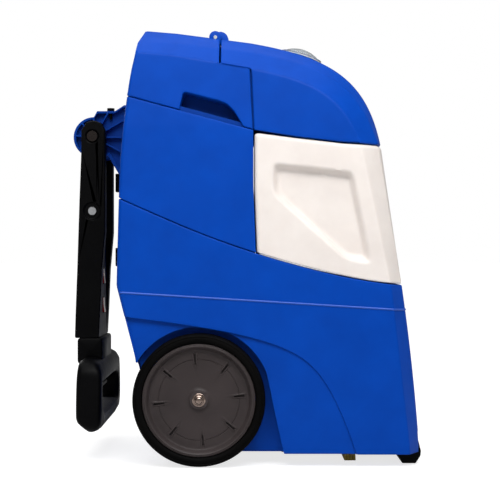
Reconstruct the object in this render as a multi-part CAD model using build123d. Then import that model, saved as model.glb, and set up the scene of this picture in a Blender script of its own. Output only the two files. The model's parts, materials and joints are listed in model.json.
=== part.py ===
from build123d import *
import math
import os

# A walk-behind carpet cleaner (self-contained spray extractor), standing on its two
# wheels and its vacuum shoe, with the handle folded down behind it.
# Millimetres. +X is forward, +Z is up, the floor is z = 0, and y = 0 is the mid plane.
# Side-view points are (x, z).

# ---- driving dimensions -------------------------------------------------------------
WALL = 4.5                      # moulded shell wall
SEAM_GAP = 1.5                  # parting gap between neighbouring shells
TANK_GAP = 2.0                  # running gap round the pull-out tank

SIDE_Y_FLOOR = 213.0            # half width of the side wall at the floor
SIDE_Y_DRAFT = 10.0 / 830.0     # inward lean of the side wall for each mm of height
EDGE_Y = 177.0                  # half width at the outer edge of the bevel
CROWN_Y = 149.0                 # half width where the top and front skin begins

WHEEL_X = -83.5
WHEEL_R = 127.0
WHEEL_OUT_Y = 225.0
WHEEL_WIDTH = 38.0
HUB_R = 108.6
SLOT_CIRCLE_R = 77.5
AXLE_R = 8.0
BUSH_R = 12.0
RUN_CLEARANCE = 0.05            # radial, between a shaft and its bush

PIVOT = (-304.3, 643.2)         # handle fold axis
ARM_SCREW_Z = 492.1
ARM_IN_Y = 56.0
ARM_OUT_Y = 81.0
BRACKET_Y = (24.0, 54.0)
BRACKET_R = 41.2
PIVOT_BOLT_R = 6.0
GRIP_Y = 181.0

HOOD_PIN = (-54.0, 831.0)       # hood hinge axis
EAR_R = 12.0
PIN_R = 3.5
EAR_Y = (138.0, 146.0)
KNUCKLE_Y = (126.0, 137.7)

DOME_AT = (119.4, 812.6)
DOME_TILT = 16.95
DOME_CHORD_R = 43.0
DOME_HEIGHT = 18.0

BRUSH_X = 210.0
BRUSH_THROW = 4.0
BRUSH_HALF = 153.0              # half length of the brush bar
TUFT_HALF = 150.0               # half length of a row of tufts

FILL_X = -110.0                 # filler neck of the solution tank
CUP_R = 41.0
NECK_R = 29.5

RISER = (-14.0, -60.0)          # upright suction pipe
RISER_R = 20.0
RISER_FIT = 0.5
RISER_TOP = 700.0
RISER_FOOT = 300.0
PIPE_WALL = 3.0
DUCT_BEND = (300.0, 0.0, 210.0)

WELL_R = 139.0
WELL_IN_Y = 172.0
PANEL_IN_Y = 203.0
SHOE_HALF = 176.0
FLOOR_Z = 27.1                  # top of the moulded floor
PLATE_Z = (FLOOR_Z, FLOOR_Z + 4.0)
SCREW_R = 2.5

DUCT_R = 40.0
DUCT_WALL = 4.0
FRAME_HALF = 80.0

TANK_INLET = (135.0, 0.0)
INLET_R = 30.0
FLOAT_AT = (66.0, 0.0)
FLOAT_PORT_R = 12.0
FLOAT_R = 15.0
CAGE_R = 22.0
CAGE_FOOT = 560.0
CAGE_WALL = 3.0

FAN_AT = (-90.0, 62.0)
FAN_R = 72.0
FAN_EYE_R = 30.0
SHELF_Z = (290.0, 294.0)
MOTOR_SHAFT_R = 6.0

RELEASE = (-270.5, -46.0)       # lock plunger on the right bracket
RELEASE_STEM_R = 3.0
LOOP_X = (-325.5, -274.5)
LOOP_HALF = 181.0
BAR_HALF = 124.0
CONSOLE = (-330.0, -294.0, 240.0, 436.0)
CONSOLE_WALL = 3.0
SWITCH_Z = (300.0, 360.0)
SWITCH_X = -291.0

# ---- outlines of the whole body, one for each distance from the mid plane -------------
REAR_LOW = (-159.0, 22.6)
REAR_CORNER = (-242.0, 345.0)
REAR_BEND = (-238.0, 505.0)
REAR_MID = (-231.5, 631.0)

CREASE = dict(top=(-206.0, 794.0), knee=(-130.0, 787.0), hood=(17.5, 760.9),
              bow=((116.8, 734.3), (183.0, 692.0)), tip=(225.6, 620.5),
              deck=(282.5, 352.0), toe=(317.7, 43.5), low=(319.0, 22.6))
EDGE = dict(top=(-203.0, 816.5), knee=(-130.0, 813.5), hood=(12.3, 796.6),
            bow=((134.9, 766.5), (212.0, 714.0)), tip=(261.1, 624.8),
            deck=(307.0, 352.0), toe=(341.0, 43.5), low=(342.0, 22.6))
CROWN = dict(top=(-190.0, 843.5), knee=(-130.0, 838.5), hood=(14.0, 819.7),
             bow=((143.5, 786.7), (226.0, 730.0)), tip=(269.3, 627.0),
             deck=(309.5, 352.0), toe=(342.5, 43.5), low=(343.5, 22.6))
MIDDLE = dict(top=(-187.0, 848.0), knee=(-130.0, 843.5), hood=(15.0, 825.0),
              bow=((146.0, 791.5), (229.5, 733.5)), tip=(273.5, 628.0),
              deck=(313.5, 352.0), toe=(344.0, 43.5), low=(344.5, 22.6))

# ---- seams between the shells, seen from the side -------------------------------------
TOP_SEAM = ((-260.0, 718.4), (20.9, 642.9))
HOOD_REAR = ((20.9, 642.9), (14.8, 762.1), (-43.6, 771.4), (-43.6, 900.0))
HOOD_FOOT = ((23.4, 643.4), (104.7, 630.5), (192.4, 620.5), (262.0, 618.0), (330.0, 618.0))
DECK_LINE = ((-260.0, 521.5), (-192.2, 491.6), (-80.1, 444.1), (23.5, 407.5),
             (148.4, 372.3), (277.7, 348.5), (360.0, 343.0))
TANK_REAR = ((22.4, 638.4), (22.4, 534.6), (27.5, 400.0))
TANK_DROP = 2.7                 # gap under the hood's foot
ARCH_LINE = ((-260.0, 289.0), (-92.9, 266.7), (32.9, 240.3), (89.3, 219.5), (148.4, 171.8),
             (174.7, 129.1), (197.7, 76.7), (221.0, 10.0))
TANK_DISH = ((58.6, 578.6), (211.0, 562.1), (245.2, 388.7), (199.1, 395.2), (58.6, 521.4))
GRIP_POCKET = ((-121.3, 600.0), (-121.3, 679.0), (-113.5, 717.1), (-47.6, 700.4),
               (-30.0, 693.4), (-15.9, 679.0), (1.6, 649.7), (1.6, 600.0))

HALF = 260.0                    # past the sides of everything
LOW = -20.0                     # below the floor
HIGH = 900.0                    # above everything
BACK = -400.0
FRONT = 400.0


def at(p, y):
    """A side-view point placed at one distance across the machine."""
    return (p[0], y, p[1])


def prism(points, y0, y1):
    """A straight-sided outline in side view, swept across from y0 to y1."""
    face = make_face(Polyline(*[at(p, y0) for p in points], close=True))
    return extrude(face, amount=y1 - y0, dir=(0, 1, 0))


def sides_prism(points, y0, y1):
    """The same outline swept on both sides, for |y| between y0 and y1."""
    return prism(points, y0, y1) + prism(points, -y1, -y0)


def under(curve, lift, y0=-HALF, y1=HALF):
    """Everything below a smooth seam line, lifted by a distance."""
    line = Spline(*[at((x, z + lift), y0) for x, z in curve])
    low = Polyline(line @ 1, (curve[-1][0], y0, LOW), (curve[0][0], y0, LOW), line @ 0)
    return extrude(make_face(Wire([line, *low.edges()])), amount=y1 - y0, dir=(0, 1, 0))


def rod(x, z, radius, y0, y1):
    """A round bar across the machine."""
    plane = Plane(origin=(x, y0, z), x_dir=(1, 0, 0), z_dir=(0, 1, 0))
    return plane * extrude(Circle(radius), amount=y1 - y0)


def post(x, y, radius, z0, z1):
    """An upright round bar."""
    return Pos(x, y, z0) * extrude(Circle(radius), amount=z1 - z0)


def block(x0, x1, y0, y1, z0, z1):
    """An upright box between two corners."""
    centre = ((x0 + x1) / 2, (y0 + y1) / 2, (z0 + z1) / 2)
    return Pos(*centre) * Box(x1 - x0, y1 - y0, z1 - z0)


def pair(shape):
    """A shape and its mirror image across the mid plane."""
    return [shape, shape.mirror(Plane.XZ)]


def shift_in(points, distance):
    """The corners of a closed clockwise outline moved inwards by a distance."""
    moved = []
    count = len(points)
    for i, here in enumerate(points):
        before, after = points[i - 1], points[(i + 1) % count]
        a = math.atan2(here[1] - before[1], here[0] - before[0])
        b = math.atan2(after[1] - here[1], after[0] - here[0])
        half = math.remainder(b - a, math.tau) / 2
        reach = distance / math.cos(half)
        normal = a + half - math.pi / 2
        moved.append((here[0] + reach * math.cos(normal), here[1] + reach * math.sin(normal)))
    return moved


def body_section(shape, y, inset, lean=0.0):
    """One closed outline of the body at distance y, leaning in with height."""
    corners = [REAR_LOW, REAR_CORNER, REAR_BEND, REAR_MID, shape["top"], shape["knee"],
               shape["hood"], *shape["bow"], shape["tip"], shape["deck"], shape["toe"],
               shape["low"]]
    p = [(x, y - math.copysign(lean * z, y), z) for x, z in shift_in(corners, inset)]
    edges = [Line(p[0], p[1]), Line(p[1], p[2]), ThreePointArc(p[2], p[3], p[4]),
             Line(p[4], p[5]), Line(p[5], p[6]), Spline(p[6], p[7], p[8], p[9]),
             Line(p[9], p[10]), Line(p[10], p[11]), Line(p[11], p[12]), Line(p[12], p[0])]
    return make_face(Wire(edges))


def body_solid(inset=0.0):
    """The outer form of the body: flat leaning sides, a bevel and a crowned skin."""
    side = SIDE_Y_FLOOR - inset
    stations = [(CREASE, side, SIDE_Y_DRAFT), (EDGE, EDGE_Y - inset, 0.0),
                (CROWN, CROWN_Y - inset / 2, 0.0)]
    sections = [body_section(s, -y, inset, k) for s, y, k in stations]
    sections.append(body_section(MIDDLE, 0.0, inset))
    sections += [body_section(s, y, inset, k) for s, y, k in reversed(stations)]
    return loft(sections, ruled=True)


outer = body_solid()
inner = body_solid(WALL)


# ---- moulded shells -----------------------------------------------------------------------
def top_housing():
    """The upper rear shell, open below, with a carry grip moulded into each side."""
    region = [(TOP_SEAM[0][0], TOP_SEAM[0][1] + SEAM_GAP),
              (TOP_SEAM[1][0], TOP_SEAM[1][1] + SEAM_GAP), *HOOD_REAR[1:],
              (TOP_SEAM[0][0], HIGH)]
    room = [(BACK, 500.0), (20.9 - WALL, 500.0), (20.9 - WALL, 644.0),
            (14.8 - WALL, 762.1 - WALL), (-43.6 - WALL, 771.4 - WALL),
            (-43.6 - WALL, HIGH), (BACK, HIGH)]
    full = outer & prism(region, -HALF, HALF)
    shell = full - (inner & prism(room, -HALF, HALF))
    pocket_wall = shift_in(GRIP_POCKET, -WALL)
    shell += sides_prism(pocket_wall, 158.0, HALF) & full
    shell -= sides_prism(GRIP_POCKET, 162.5, HALF)
    cup = post(FILL_X, 0.0, CUP_R + 3.0, 808.0, 841.0)
    shell += cup
    shell -= post(FILL_X, 0.0, CUP_R, 812.0, HIGH)
    shell -= post(FILL_X, 0.0, NECK_R + 0.5, 800.0, HIGH)
    x, z = HOOD_PIN
    shell -= sides_prism([(x - 14.0, 812.0), (-43.0, 812.0), (-43.0, HIGH), (x - 14.0, HIGH)],
                         KNUCKLE_Y[0] - 1.0, KNUCKLE_Y[1] + 0.3)
    ear = rod(x, z, EAR_R, *EAR_Y)
    ear += prism([(x - EAR_R, z), (x - EAR_R, 815.0), (-44.5, 815.0), (-44.5, z)], *EAR_Y)
    ear -= rod(x, z, PIN_R, *EAR_Y)
    for one in pair(ear):
        shell = (shell - one) + one
    shell -= rod(x, z, PIN_R, -HALF, HALF)
    stub = Plane(origin=(0, RISER[1], RISER_TOP - RISER_R), x_dir=(0, 1, 0), z_dir=(1, 0, 0))
    shell -= stub * extrude(Circle(RISER_R + RISER_FIT), amount=60.0)
    return shell


def rear_casing():
    """The middle shell behind the recovery tank, open at the top."""
    front = [(26.0, 300.0), (25.4, 407.0), (20.4, 534.6), (20.3, 643.1)]
    region = [(BACK, 300.0), *front, TOP_SEAM[0], (BACK, 730.0)]
    room = [(BACK, 300.0)] + [(x - WALL, z) for x, z in front]
    room += [(20.3 - WALL, HIGH), (BACK, HIGH)]
    shell = outer & prism(region, -HALF, HALF)
    shell -= under(DECK_LINE, SEAM_GAP)
    space = (inner & prism(room, -HALF, HALF)) - under(DECK_LINE, SEAM_GAP + WALL)
    shell -= space
    shell -= post(*RISER, RISER_R + RISER_FIT, 380.0, 480.0)
    return shell


def well_solid(grow, y0):
    """The space round one pair of wheels, grown by a distance."""
    foot = [(BACK, LOW), (BACK, 210.0), (WHEEL_X, 210.0), (46.0, 178.0 + grow),
            (52.0 + grow, 150.0), (62.0 + grow, 100.0), (87.0 + grow, LOW)]
    space = sides_prism(foot, y0, HALF)
    space += rod(WHEEL_X, WHEEL_R, WELL_R + grow, y0, HALF)
    space += rod(WHEEL_X, WHEEL_R, WELL_R + grow, -HALF, -y0)
    return space & under(ARCH_LINE, grow)


def panel_solid(grow, y0):
    """The shallow recess inside the fender line, grown by a distance."""
    arch = [(x + grow * 0.6, z + grow) for x, z in ARCH_LINE]
    return under(arch, 0.0, y0, HALF) + under(arch, 0.0, -HALF, -y0)


def base_housing():
    """The lower shell: deck, sides with wheel wells, nose over the vacuum shoe, floor."""
    full = outer & under(DECK_LINE, 0.0)
    shell = full - (inner & under(DECK_LINE, -WALL))
    shell += full & well_solid(WALL, WELL_IN_Y - WALL)
    shell += full & panel_solid(WALL, PANEL_IN_Y - WALL)
    shell -= well_solid(0.0, WELL_IN_Y)
    shell -= panel_solid(0.0, PANEL_IN_Y)
    shell -= rod(WHEEL_X, WHEEL_R, BUSH_R, -HALF, HALF)
    nose = [(318.0, 24.0), (324.0, 18.5), (331.0, 10.5), (340.5, 30.0), (330.0, 34.0)]
    shell += sides_prism(nose, 180.0, 196.0)
    shell -= block(298.5, FRONT, -SHOE_HALF - 1.0, SHOE_HALF + 1.0, LOW, 61.0)
    shell -= block(-140.0, 285.0, -158.0, 158.0, LOW, FLOOR_Z)
    for x, y in screw_places():
        shell -= post(x, y, SCREW_R, LOW, FLOOR_Z)
    shell -= post(*RISER, RISER_R + RISER_FIT, 380.0, 480.0)
    return shell


def hood_shell():
    """The hinged front hood, open below and behind, with the window hole."""
    region = [*HOOD_FOOT, (FRONT, HIGH), (-43.6 + SEAM_GAP, HIGH),
              (-43.6 + SEAM_GAP, 771.4 + SEAM_GAP), (14.8 + SEAM_GAP, 762.1 + SEAM_GAP)]
    shell = outer & prism(region, -HALF, HALF)
    shell -= inner
    shell -= dome_axis() * post(0.0, 0.0, DUCT_R, -60.0, 60.0)
    shell -= knuckle_form()
    return shell


def dome_axis():
    """The window's own frame: its z axis is square to the sloping window frame."""
    return Pos(DOME_AT[0], 0.0, DOME_AT[1]) * Rot(0.0, DOME_TILT, 0.0)


def frame_top(x):
    """Height of the flat window frame at x."""
    return DOME_AT[1] - math.tan(math.radians(DOME_TILT)) * (x - DOME_AT[0])


def window_frame():
    """The raised platform on the hood that carries the window."""
    profile = [(40.4, 760.0), (40.4, 826.5), (60.0, frame_top(60.0)), (178.0, frame_top(178.0)),
               (221.0, 745.5), (221.0, 700.0)]
    frame = prism(profile, -FRAME_HALF, FRAME_HALF) - outer
    return frame - dome_axis() * post(0.0, 0.0, DUCT_R - DUCT_WALL, -60.0, 60.0)


def window_gasket():
    ring = post(0.0, 0.0, 43.0, 0.0, 2.0) - post(0.0, 0.0, 37.0, 0.0, 2.0)
    return dome_axis() * ring


def window_dome():
    """The clear domed window with its seating flange."""
    def cap(radius, top, base):
        ball = (radius ** 2 + (top - base) ** 2) / (2 * (top - base))
        sphere = Pos(0, 0, top - ball) * Sphere(ball)
        return sphere & post(0.0, 0.0, radius, base, top + 1.0)
    flange = post(0.0, 0.0, 43.5, 2.0, 5.0) - post(0.0, 0.0, 35.0, 2.0, 5.0)
    shell = cap(39.0, DOME_HEIGHT, 5.0) + flange
    shell -= cap(36.0, DOME_HEIGHT - 3.0, 5.0)
    return dome_axis() * shell


def hood_duct():
    """The duct collar under the window."""
    tube = post(0.0, 0.0, DUCT_R, -62.0, 20.0) - post(0.0, 0.0, DUCT_R - DUCT_WALL, -62.0, 20.0)
    tube = dome_axis() * tube
    return (tube & outer)


def knuckle_form():
    """The two hinge knuckles of the hood, with their arms."""
    x, z = HOOD_PIN
    arm = [(x, z + EAR_R), (-32.0, 838.0), (-18.0, 834.0), (-18.0, 822.0), (-36.0, 815.0),
           (x, z - EAR_R)]
    knuckle = rod(x, z, EAR_R, *KNUCKLE_Y) + prism(arm, *KNUCKLE_Y)
    knuckle -= rod(x, z, PIN_R + RUN_CLEARANCE, *KNUCKLE_Y)
    return Compound(children=pair(knuckle))


def tank_top(drop):
    """The tank's top line ahead of its rear corner, lowered by a distance."""
    return [(x, z - TANK_DROP - drop) for x, z in HOOD_FOOT[1:]]


def recovery_tank():
    """The pull-out tank with a soft dished panel in each side."""
    top = tank_top(0.0)
    region = [*reversed(TANK_REAR), *top, (FRONT, top[-1][1]), (FRONT, 300.0), (27.5, 300.0)]
    full = (outer & prism(region, -HALF, HALF)) - under(DECK_LINE, TANK_GAP)
    rear = [(x + WALL, z) for x, z in reversed(TANK_REAR[1:])]
    ceiling = tank_top(WALL)
    room = [*rear, (TANK_REAR[0][0] + WALL, TANK_REAR[0][1] - WALL), *ceiling,
            (FRONT, ceiling[-1][1]), (FRONT, 300.0), (rear[0][0], 300.0)]
    space = (inner & prism(room, -HALF, HALF)) - under(DECK_LINE, TANK_GAP + WALL)
    space -= sides_prism(shift_in(TANK_DISH, -WALL), 188.0, HALF)
    tank = full - space - sides_prism(TANK_DISH, 192.5, HALF)
    tank -= post(*TANK_INLET, INLET_R, 600.0, 660.0)
    tank -= post(*FLOAT_AT, FLOAT_PORT_R, 600.0, 660.0)
    return tank


def float_cage():
    """The slotted cage that guides the float up to the vacuum port."""
    x, y = FLOAT_AT
    cage = post(x, y, CAGE_R, CAGE_FOOT, 650.0)
    cage -= post(x, y, CAGE_R - CAGE_WALL, CAGE_FOOT + CAGE_WALL, 650.0)
    for wide, deep in ((60.0, 10.0), (10.0, 60.0)):
        cage -= block(x - wide / 2, x + wide / 2, y - deep / 2, y + deep / 2,
                      CAGE_FOOT + 8.0, CAGE_FOOT + 54.0)
    rear = (TANK_REAR[0][0], TANK_REAR[0][1] - WALL)
    front = tank_top(WALL)[0]
    return cage - prism([rear, front, (front[0], HIGH), (rear[0], HIGH)], -50.0, 50.0)


def float_ball():
    return Pos(*FLOAT_AT, CAGE_FOOT + CAGE_WALL + 0.5 + FLOAT_R) * Sphere(FLOAT_R)


# ---- chassis, axle and wheels -------------------------------------------------------------
def screw_places():
    return [(x, y) for x in (-120.0, -20.0, 80.0, 180.0, 270.0) for y in (-161.0, 161.0)]


def chassis_plate():
    plate = block(-146.0, 291.0, -164.0, 164.0, *PLATE_Z)
    plate -= block(BRUSH_X - 20.0, BRUSH_X + 20.0, -159.5, 159.5, *PLATE_Z)
    plate -= block(254.0, 266.0, -140.0, 140.0, *PLATE_Z)
    for x, y in screw_places():
        plate -= post(x, y, SCREW_R, *PLATE_Z)
    return plate


def chassis_screws():
    return Compound(children=[post(x, y, SCREW_R, 22.6, PLATE_Z[1]) + post(x, y, 4.5, 20.1, 22.6)
                              for x, y in screw_places()])


def axle_brackets():
    plate = [(WHEEL_X - 40.0, PLATE_Z[1]), (WHEEL_X + 40.0, PLATE_Z[1]),
             (WHEEL_X + 18.0, WHEEL_R + 20.0), (WHEEL_X - 18.0, WHEEL_R + 20.0)]
    one = prism(plate, 150.0, 156.0) - rod(WHEEL_X, WHEEL_R, AXLE_R, 140.0, 160.0)
    return Compound(children=pair(one))


def ring_profile(points):
    """A profile of (radius, distance from the mid plane) spun about the wheel axis."""
    face = make_face(Polyline(*[(WHEEL_X + r, y, WHEEL_R) for r, y in points], close=True))
    return revolve(face, Axis((WHEEL_X, 0, WHEEL_R), (0, 1, 0)), 360)


def tyre():
    inside, outside = WHEEL_OUT_Y - WHEEL_WIDTH, WHEEL_OUT_Y
    soft = 8.0
    bend = soft * (1 - math.sqrt(0.5))
    def p(r, y):
        return (WHEEL_X + r, y, WHEEL_R)
    edges = [Line(p(HUB_R, inside), p(WHEEL_R - soft, inside)),
             ThreePointArc(p(WHEEL_R - soft, inside), p(WHEEL_R - bend, inside + bend),
                           p(WHEEL_R, inside + soft)),
             Line(p(WHEEL_R, inside + soft), p(WHEEL_R, outside - soft)),
             ThreePointArc(p(WHEEL_R, outside - soft), p(WHEEL_R - bend, outside - bend),
                           p(WHEEL_R - soft, outside)),
             Line(p(WHEEL_R - soft, outside), p(HUB_R, outside)),
             Line(p(HUB_R, outside), p(HUB_R, inside))]
    return revolve(make_face(Wire(edges)), Axis((WHEEL_X, 0, WHEEL_R), (0, 1, 0)), 360)


HUB_PROFILE = ((BUSH_R, 190.0), (20.0, 190.0), (20.0, 204.0), (97.0, 204.0), (97.0, 190.0),
               (HUB_R, 190.0), (HUB_R, 221.5), (103.0, 221.5), (97.0, 210.0), (24.0, 210.0),
               (18.0, 214.0), (BUSH_R, 214.0))


def hub():
    """The wheel hub: dished disc, rim and boss, with eight slots on one circle."""
    disc = ring_profile(HUB_PROFILE)
    centre = Pos(WHEEL_X, 0.0, WHEEL_R)
    for k in range(8):
        turn = Rot(0.0, -5.5 - 45.0 * k, 0.0)
        disc -= centre * turn * block(SLOT_CIRCLE_R - 10.0, SLOT_CIRCLE_R + 10.0,
                                      200.0, 212.0, -1.5, 1.5)
    return disc


def cap_nut():
    body = ring_profile([(0.0, 214.5), (13.0, 214.5), (13.0, 218.0), (9.5, 222.5), (4.0, 224.6),
                         (0.0, 224.9)])
    return body - rod(WHEEL_X, WHEEL_R, AXLE_R, 200.0, 219.0)


# ---- cleaning gear ------------------------------------------------------------------------
SHOE_PROFILE = ((299.0, 18.0), (309.1, 0.0), (335.0, 0.0), (344.5, 14.0), (345.5, 24.2),
                (340.0, 45.5), (331.0, 60.0), (299.0, 60.0))


def vacuum_shoe():
    """The suction shoe across the front, with its slot."""
    shoe = prism(SHOE_PROFILE, -SHOE_HALF, SHOE_HALF)
    return shoe - block(313.0, 327.0, -SHOE_HALF + 8.0, SHOE_HALF - 8.0, LOW, 80.0)


def cross_pipe(radius):
    """A round bar along the duct's sloping run, from its bend to the riser."""
    start = Vector(*DUCT_BEND)
    along = Vector(*RISER, RISER_FOOT + 30.0) - start
    return Plane(origin=start, z_dir=along) * extrude(Circle(radius), amount=along.length)


def suction_duct():
    """The duct from the shoe, up the inside of the nose and back to the riser."""
    x, y, z = DUCT_BEND
    bore_r = RISER_R - PIPE_WALL
    wide = 60.0
    pipe = cross_pipe(RISER_R) + post(x, y, RISER_R, 118.0, z) + Pos(x, y, z) * Sphere(RISER_R)
    bore = cross_pipe(bore_r) + post(x, y, bore_r, 110.0, z) + Pos(x, y, z) * Sphere(bore_r)
    box = block(278.0, 326.0, -wide, wide, 61.0, 120.0)
    box += block(313.0, 326.0, -wide, wide, 60.0, 64.0)
    wide -= PIPE_WALL
    room = block(281.0, 323.0, -wide, wide, 61.0, 117.0)
    room += block(313.0, 323.0, -wide, wide, 50.0, 70.0)
    return (pipe + box) - bore - room - riser_solid()


def riser_stub(radius, reach):
    """A round bar forward from the riser's top, through the casing's front."""
    plane = Plane(origin=(*RISER, RISER_TOP - RISER_R), x_dir=(0, 1, 0), z_dir=(1, 0, 0))
    return plane * extrude(Circle(radius), amount=reach)


def riser_solid():
    """The riser's outer form."""
    return post(*RISER, RISER_R, RISER_FOOT, RISER_TOP) + riser_stub(RISER_R, 32.7)


def suction_riser():
    """The upright suction pipe through the casing, turning forward into the hood."""
    bore_r = RISER_R - PIPE_WALL
    bore = post(*RISER, bore_r, RISER_FOOT + PIPE_WALL, RISER_TOP - PIPE_WALL)
    return riser_solid() - bore - riser_stub(bore_r, 60.0) - cross_pipe(bore_r)


def brush_bar():
    bar = block(BRUSH_X - 15.0, BRUSH_X + 15.0, -BRUSH_HALF, BRUSH_HALF, 24.0, 40.0)
    yoke = block(BRUSH_X - 18.0, BRUSH_X + 18.0, -20.0, 20.0, 40.0, 50.0)
    slot = block(BRUSH_X - 10.5, BRUSH_X + 10.5, -13.0, 13.0, 38.0, 50.0)
    return bar + yoke - slot


def brush_bristles():
    """Rows of tufts, one closed tapering block for each row."""
    rows = []
    for x in (-8.0, 0.0, 8.0):
        face = [(BRUSH_X + x - 2.0, 24.0), (BRUSH_X + x + 2.0, 24.0), (BRUSH_X + x + 3.4, 1.0),
                (BRUSH_X + x - 3.4, 1.0)]
        rows.append(prism(face, -TUFT_HALF, TUFT_HALF))
    return Compound(children=rows)


def brush_guides():
    x = BRUSH_X
    one = block(x - 26.0, x + 26.0, 118.0, 142.0, PLATE_Z[1], 47.0)
    one -= block(x - 15.4, x + 15.4, 118.0, 142.0, PLATE_Z[1], 40.6)
    return Compound(children=pair(one))


def brush_crank():
    """Motor shaft, crank disc and the pin that drives the brush yoke."""
    crank = post(BRUSH_X, 0.0, 5.0, 57.0, 66.0) + post(BRUSH_X, 0.0, 14.0, 52.0, 57.0)
    return crank + post(BRUSH_X + BRUSH_THROW, 0.0, 4.0, 42.0, 52.0)


def brush_motor_bracket():
    x = BRUSH_X
    frame = block(x - 40.0, x + 40.0, -45.0, 45.0, PLATE_Z[1], 62.0)
    frame -= block(x - 36.0, x + 36.0, -45.0, 45.0, PLATE_Z[1], 58.0)
    return frame - post(x, 0.0, 12.0, 50.0, 62.0)


def brush_motor():
    motor = post(BRUSH_X, 0.0, 34.0, 62.0, 140.0) + post(BRUSH_X, 0.0, 12.0, 140.0, 146.0)
    return motor - post(BRUSH_X, 0.0, 5.0 + RUN_CLEARANCE, 62.0, 66.5)


def motor_shelf():
    """The hanging shelf for the vacuum motor and pump, with its four hanger posts."""
    shelf = block(-180.0, -40.0, -165.0, 165.0, *SHELF_Z)
    shelf += block(-40.0, -8.0, 0.0, 165.0, *SHELF_Z)
    shelf -= post(*FAN_AT, FAN_EYE_R, *SHELF_Z)
    for x, y in ((-172.0, -150.0), (-172.0, 150.0), (-46.0, -150.0), (-16.0, 150.0)):
        hanger = post(x, y, 5.0, SHELF_Z[1], 520.0) & under(DECK_LINE, -WALL)
        shelf += hanger
    return shelf


def vacuum_fan_housing():
    fan = post(*FAN_AT, FAN_R, SHELF_Z[1], 334.0) - post(*FAN_AT, FAN_R - 4.0, 298.0, 330.0)
    fan -= post(*FAN_AT, FAN_EYE_R, SHELF_Z[0], 298.0)
    fan -= post(*FAN_AT, 8.0, 330.0, 334.0)
    x, y = FAN_AT
    return fan - block(x - 20.0, x + 20.0, y + 60.0, y + 80.0, 302.0, 326.0)


def vacuum_impeller():
    """Shaft, back plate and curved blades of the vacuum fan."""
    x, y = FAN_AT
    wheel = post(x, y, 60.0, 322.0, 325.0) + post(x, y, MOTOR_SHAFT_R, 304.0, 338.0)
    wheel += post(x, y, 14.0, 306.0, 322.0)
    for k in range(8):
        blade = block(12.0, 58.0, -1.2, 1.2, 304.0, 322.0)
        wheel += Pos(x, y, 0.0) * Rot(0.0, 0.0, 45.0 * k) * blade
    return wheel


def vacuum_motor():
    x, y = FAN_AT
    motor = post(x, y, 48.0, 334.0, 386.0) + post(x, y, 14.0, 386.0, 392.0)
    return motor - post(x, y, MOTOR_SHAFT_R + RUN_CLEARANCE, 334.0, 339.0)


def solution_pump():
    body = block(-140.0, -85.0, -130.0, -80.0, SHELF_Z[1], 336.0)
    body += Pos(-85.0, -105.0, 315.0) * (Rot(0, 90, 0) * extrude(Circle(16.0), amount=34.0))
    return body + block(-152.0, -73.0, -112.0, -98.0, SHELF_Z[1], 297.0)


def spray_manifold():
    x = 260.0
    bar = block(x - 6.0, x + 6.0, -150.0, 150.0, 38.0, 50.0)
    for y in (-145.0, 145.0):
        bar += block(x - 6.0, x + 6.0, y - 5.0, y + 5.0, PLATE_Z[1], 38.0)
    return bar


def spray_nozzles():
    return Compound(children=[post(260.0, y, 4.5, 26.0, 38.0) for y in (-105.0, -35.0, 35.0, 105.0)])


def solution_tank():
    """The clean-water tank inside the rear shells, with its filler neck."""
    shape = [(-224.0, 400.0), (-224.0, 640.0), (-188.0, 800.0), (-76.0, 800.0), (-40.0, 735.0),
             (-40.0, 400.0)]
    tank = prism(shape, -150.0, 150.0) - under(DECK_LINE, SEAM_GAP + WALL)
    inside = prism(shift_in(shape, WALL), -145.5, 145.5) - under(DECK_LINE, SEAM_GAP + 2 * WALL)
    tank += post(FILL_X, 0.0, NECK_R, 798.0, 822.0)
    return tank - inside - post(FILL_X, 0.0, NECK_R - 4.0, 780.0, HIGH)


def fill_cap():
    """The screw cap of the filler neck with two finger ridges."""
    cap = post(FILL_X, 0.0, 36.0, 814.0, 832.0)
    cap -= post(FILL_X, 0.0, NECK_R + 0.3, 814.0, 822.5)
    return cap + block(FILL_X - 30.0, FILL_X + 30.0, -4.0, 4.0, 832.0, 839.0)


# ---- handle -------------------------------------------------------------------------------
ARM_OUTLINE = ((-339.4, 236.0), (-338.0, 283.0), (-334.0, 391.0), (-330.1, 514.3),
               (-326.5, 611.0), (-326.5, 655.0), (-316.0, 671.0), (-301.7, 675.0),
               (-287.0, 671.0), (-278.1, 655.0), (-278.1, 450.0), (-284.8, 373.2),
               (-288.0, 294.4), (-291.0, 236.0))
BRACKET_OUTLINE = ((-261.0, 696.7), (-242.7, 708.9), (-215.0, 708.9), (-215.0, 566.0),
                   (-252.0, 566.0), (-275.7, 606.0))


def handle_arm():
    arm = prism(ARM_OUTLINE, ARM_IN_Y, ARM_OUT_Y)
    x, z = PIVOT
    arm -= rod(x, z, PIVOT_BOLT_R + RUN_CLEARANCE, 40.0, 90.0)
    arm -= rod(x, z, 13.0, ARM_OUT_Y - 3.0, 90.0)
    arm -= rod(x, ARM_SCREW_Z, 5.0, 40.0, 90.0)
    arm -= rod(x, ARM_SCREW_Z, 17.0, ARM_OUT_Y - 3.0, 90.0)
    window = shift_in(ARM_OUTLINE, 6.0)
    low = block(-400.0, -200.0, 40.0, 64.0, 250.0, 470.0)
    return arm - (prism(window, 40.0, 64.0) & low)


def handle_tie_bolt():
    """The cross bolt between the arms, with a dished head at each end."""
    x = PIVOT[0]
    bolt = rod(x, ARM_SCREW_Z, 5.0, -ARM_OUT_Y + 1.0, ARM_OUT_Y - 1.0)
    for head in pair(rod(x, ARM_SCREW_Z, 8.0, ARM_OUT_Y - 3.0, ARM_OUT_Y)):
        bolt += head
    return bolt


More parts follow.
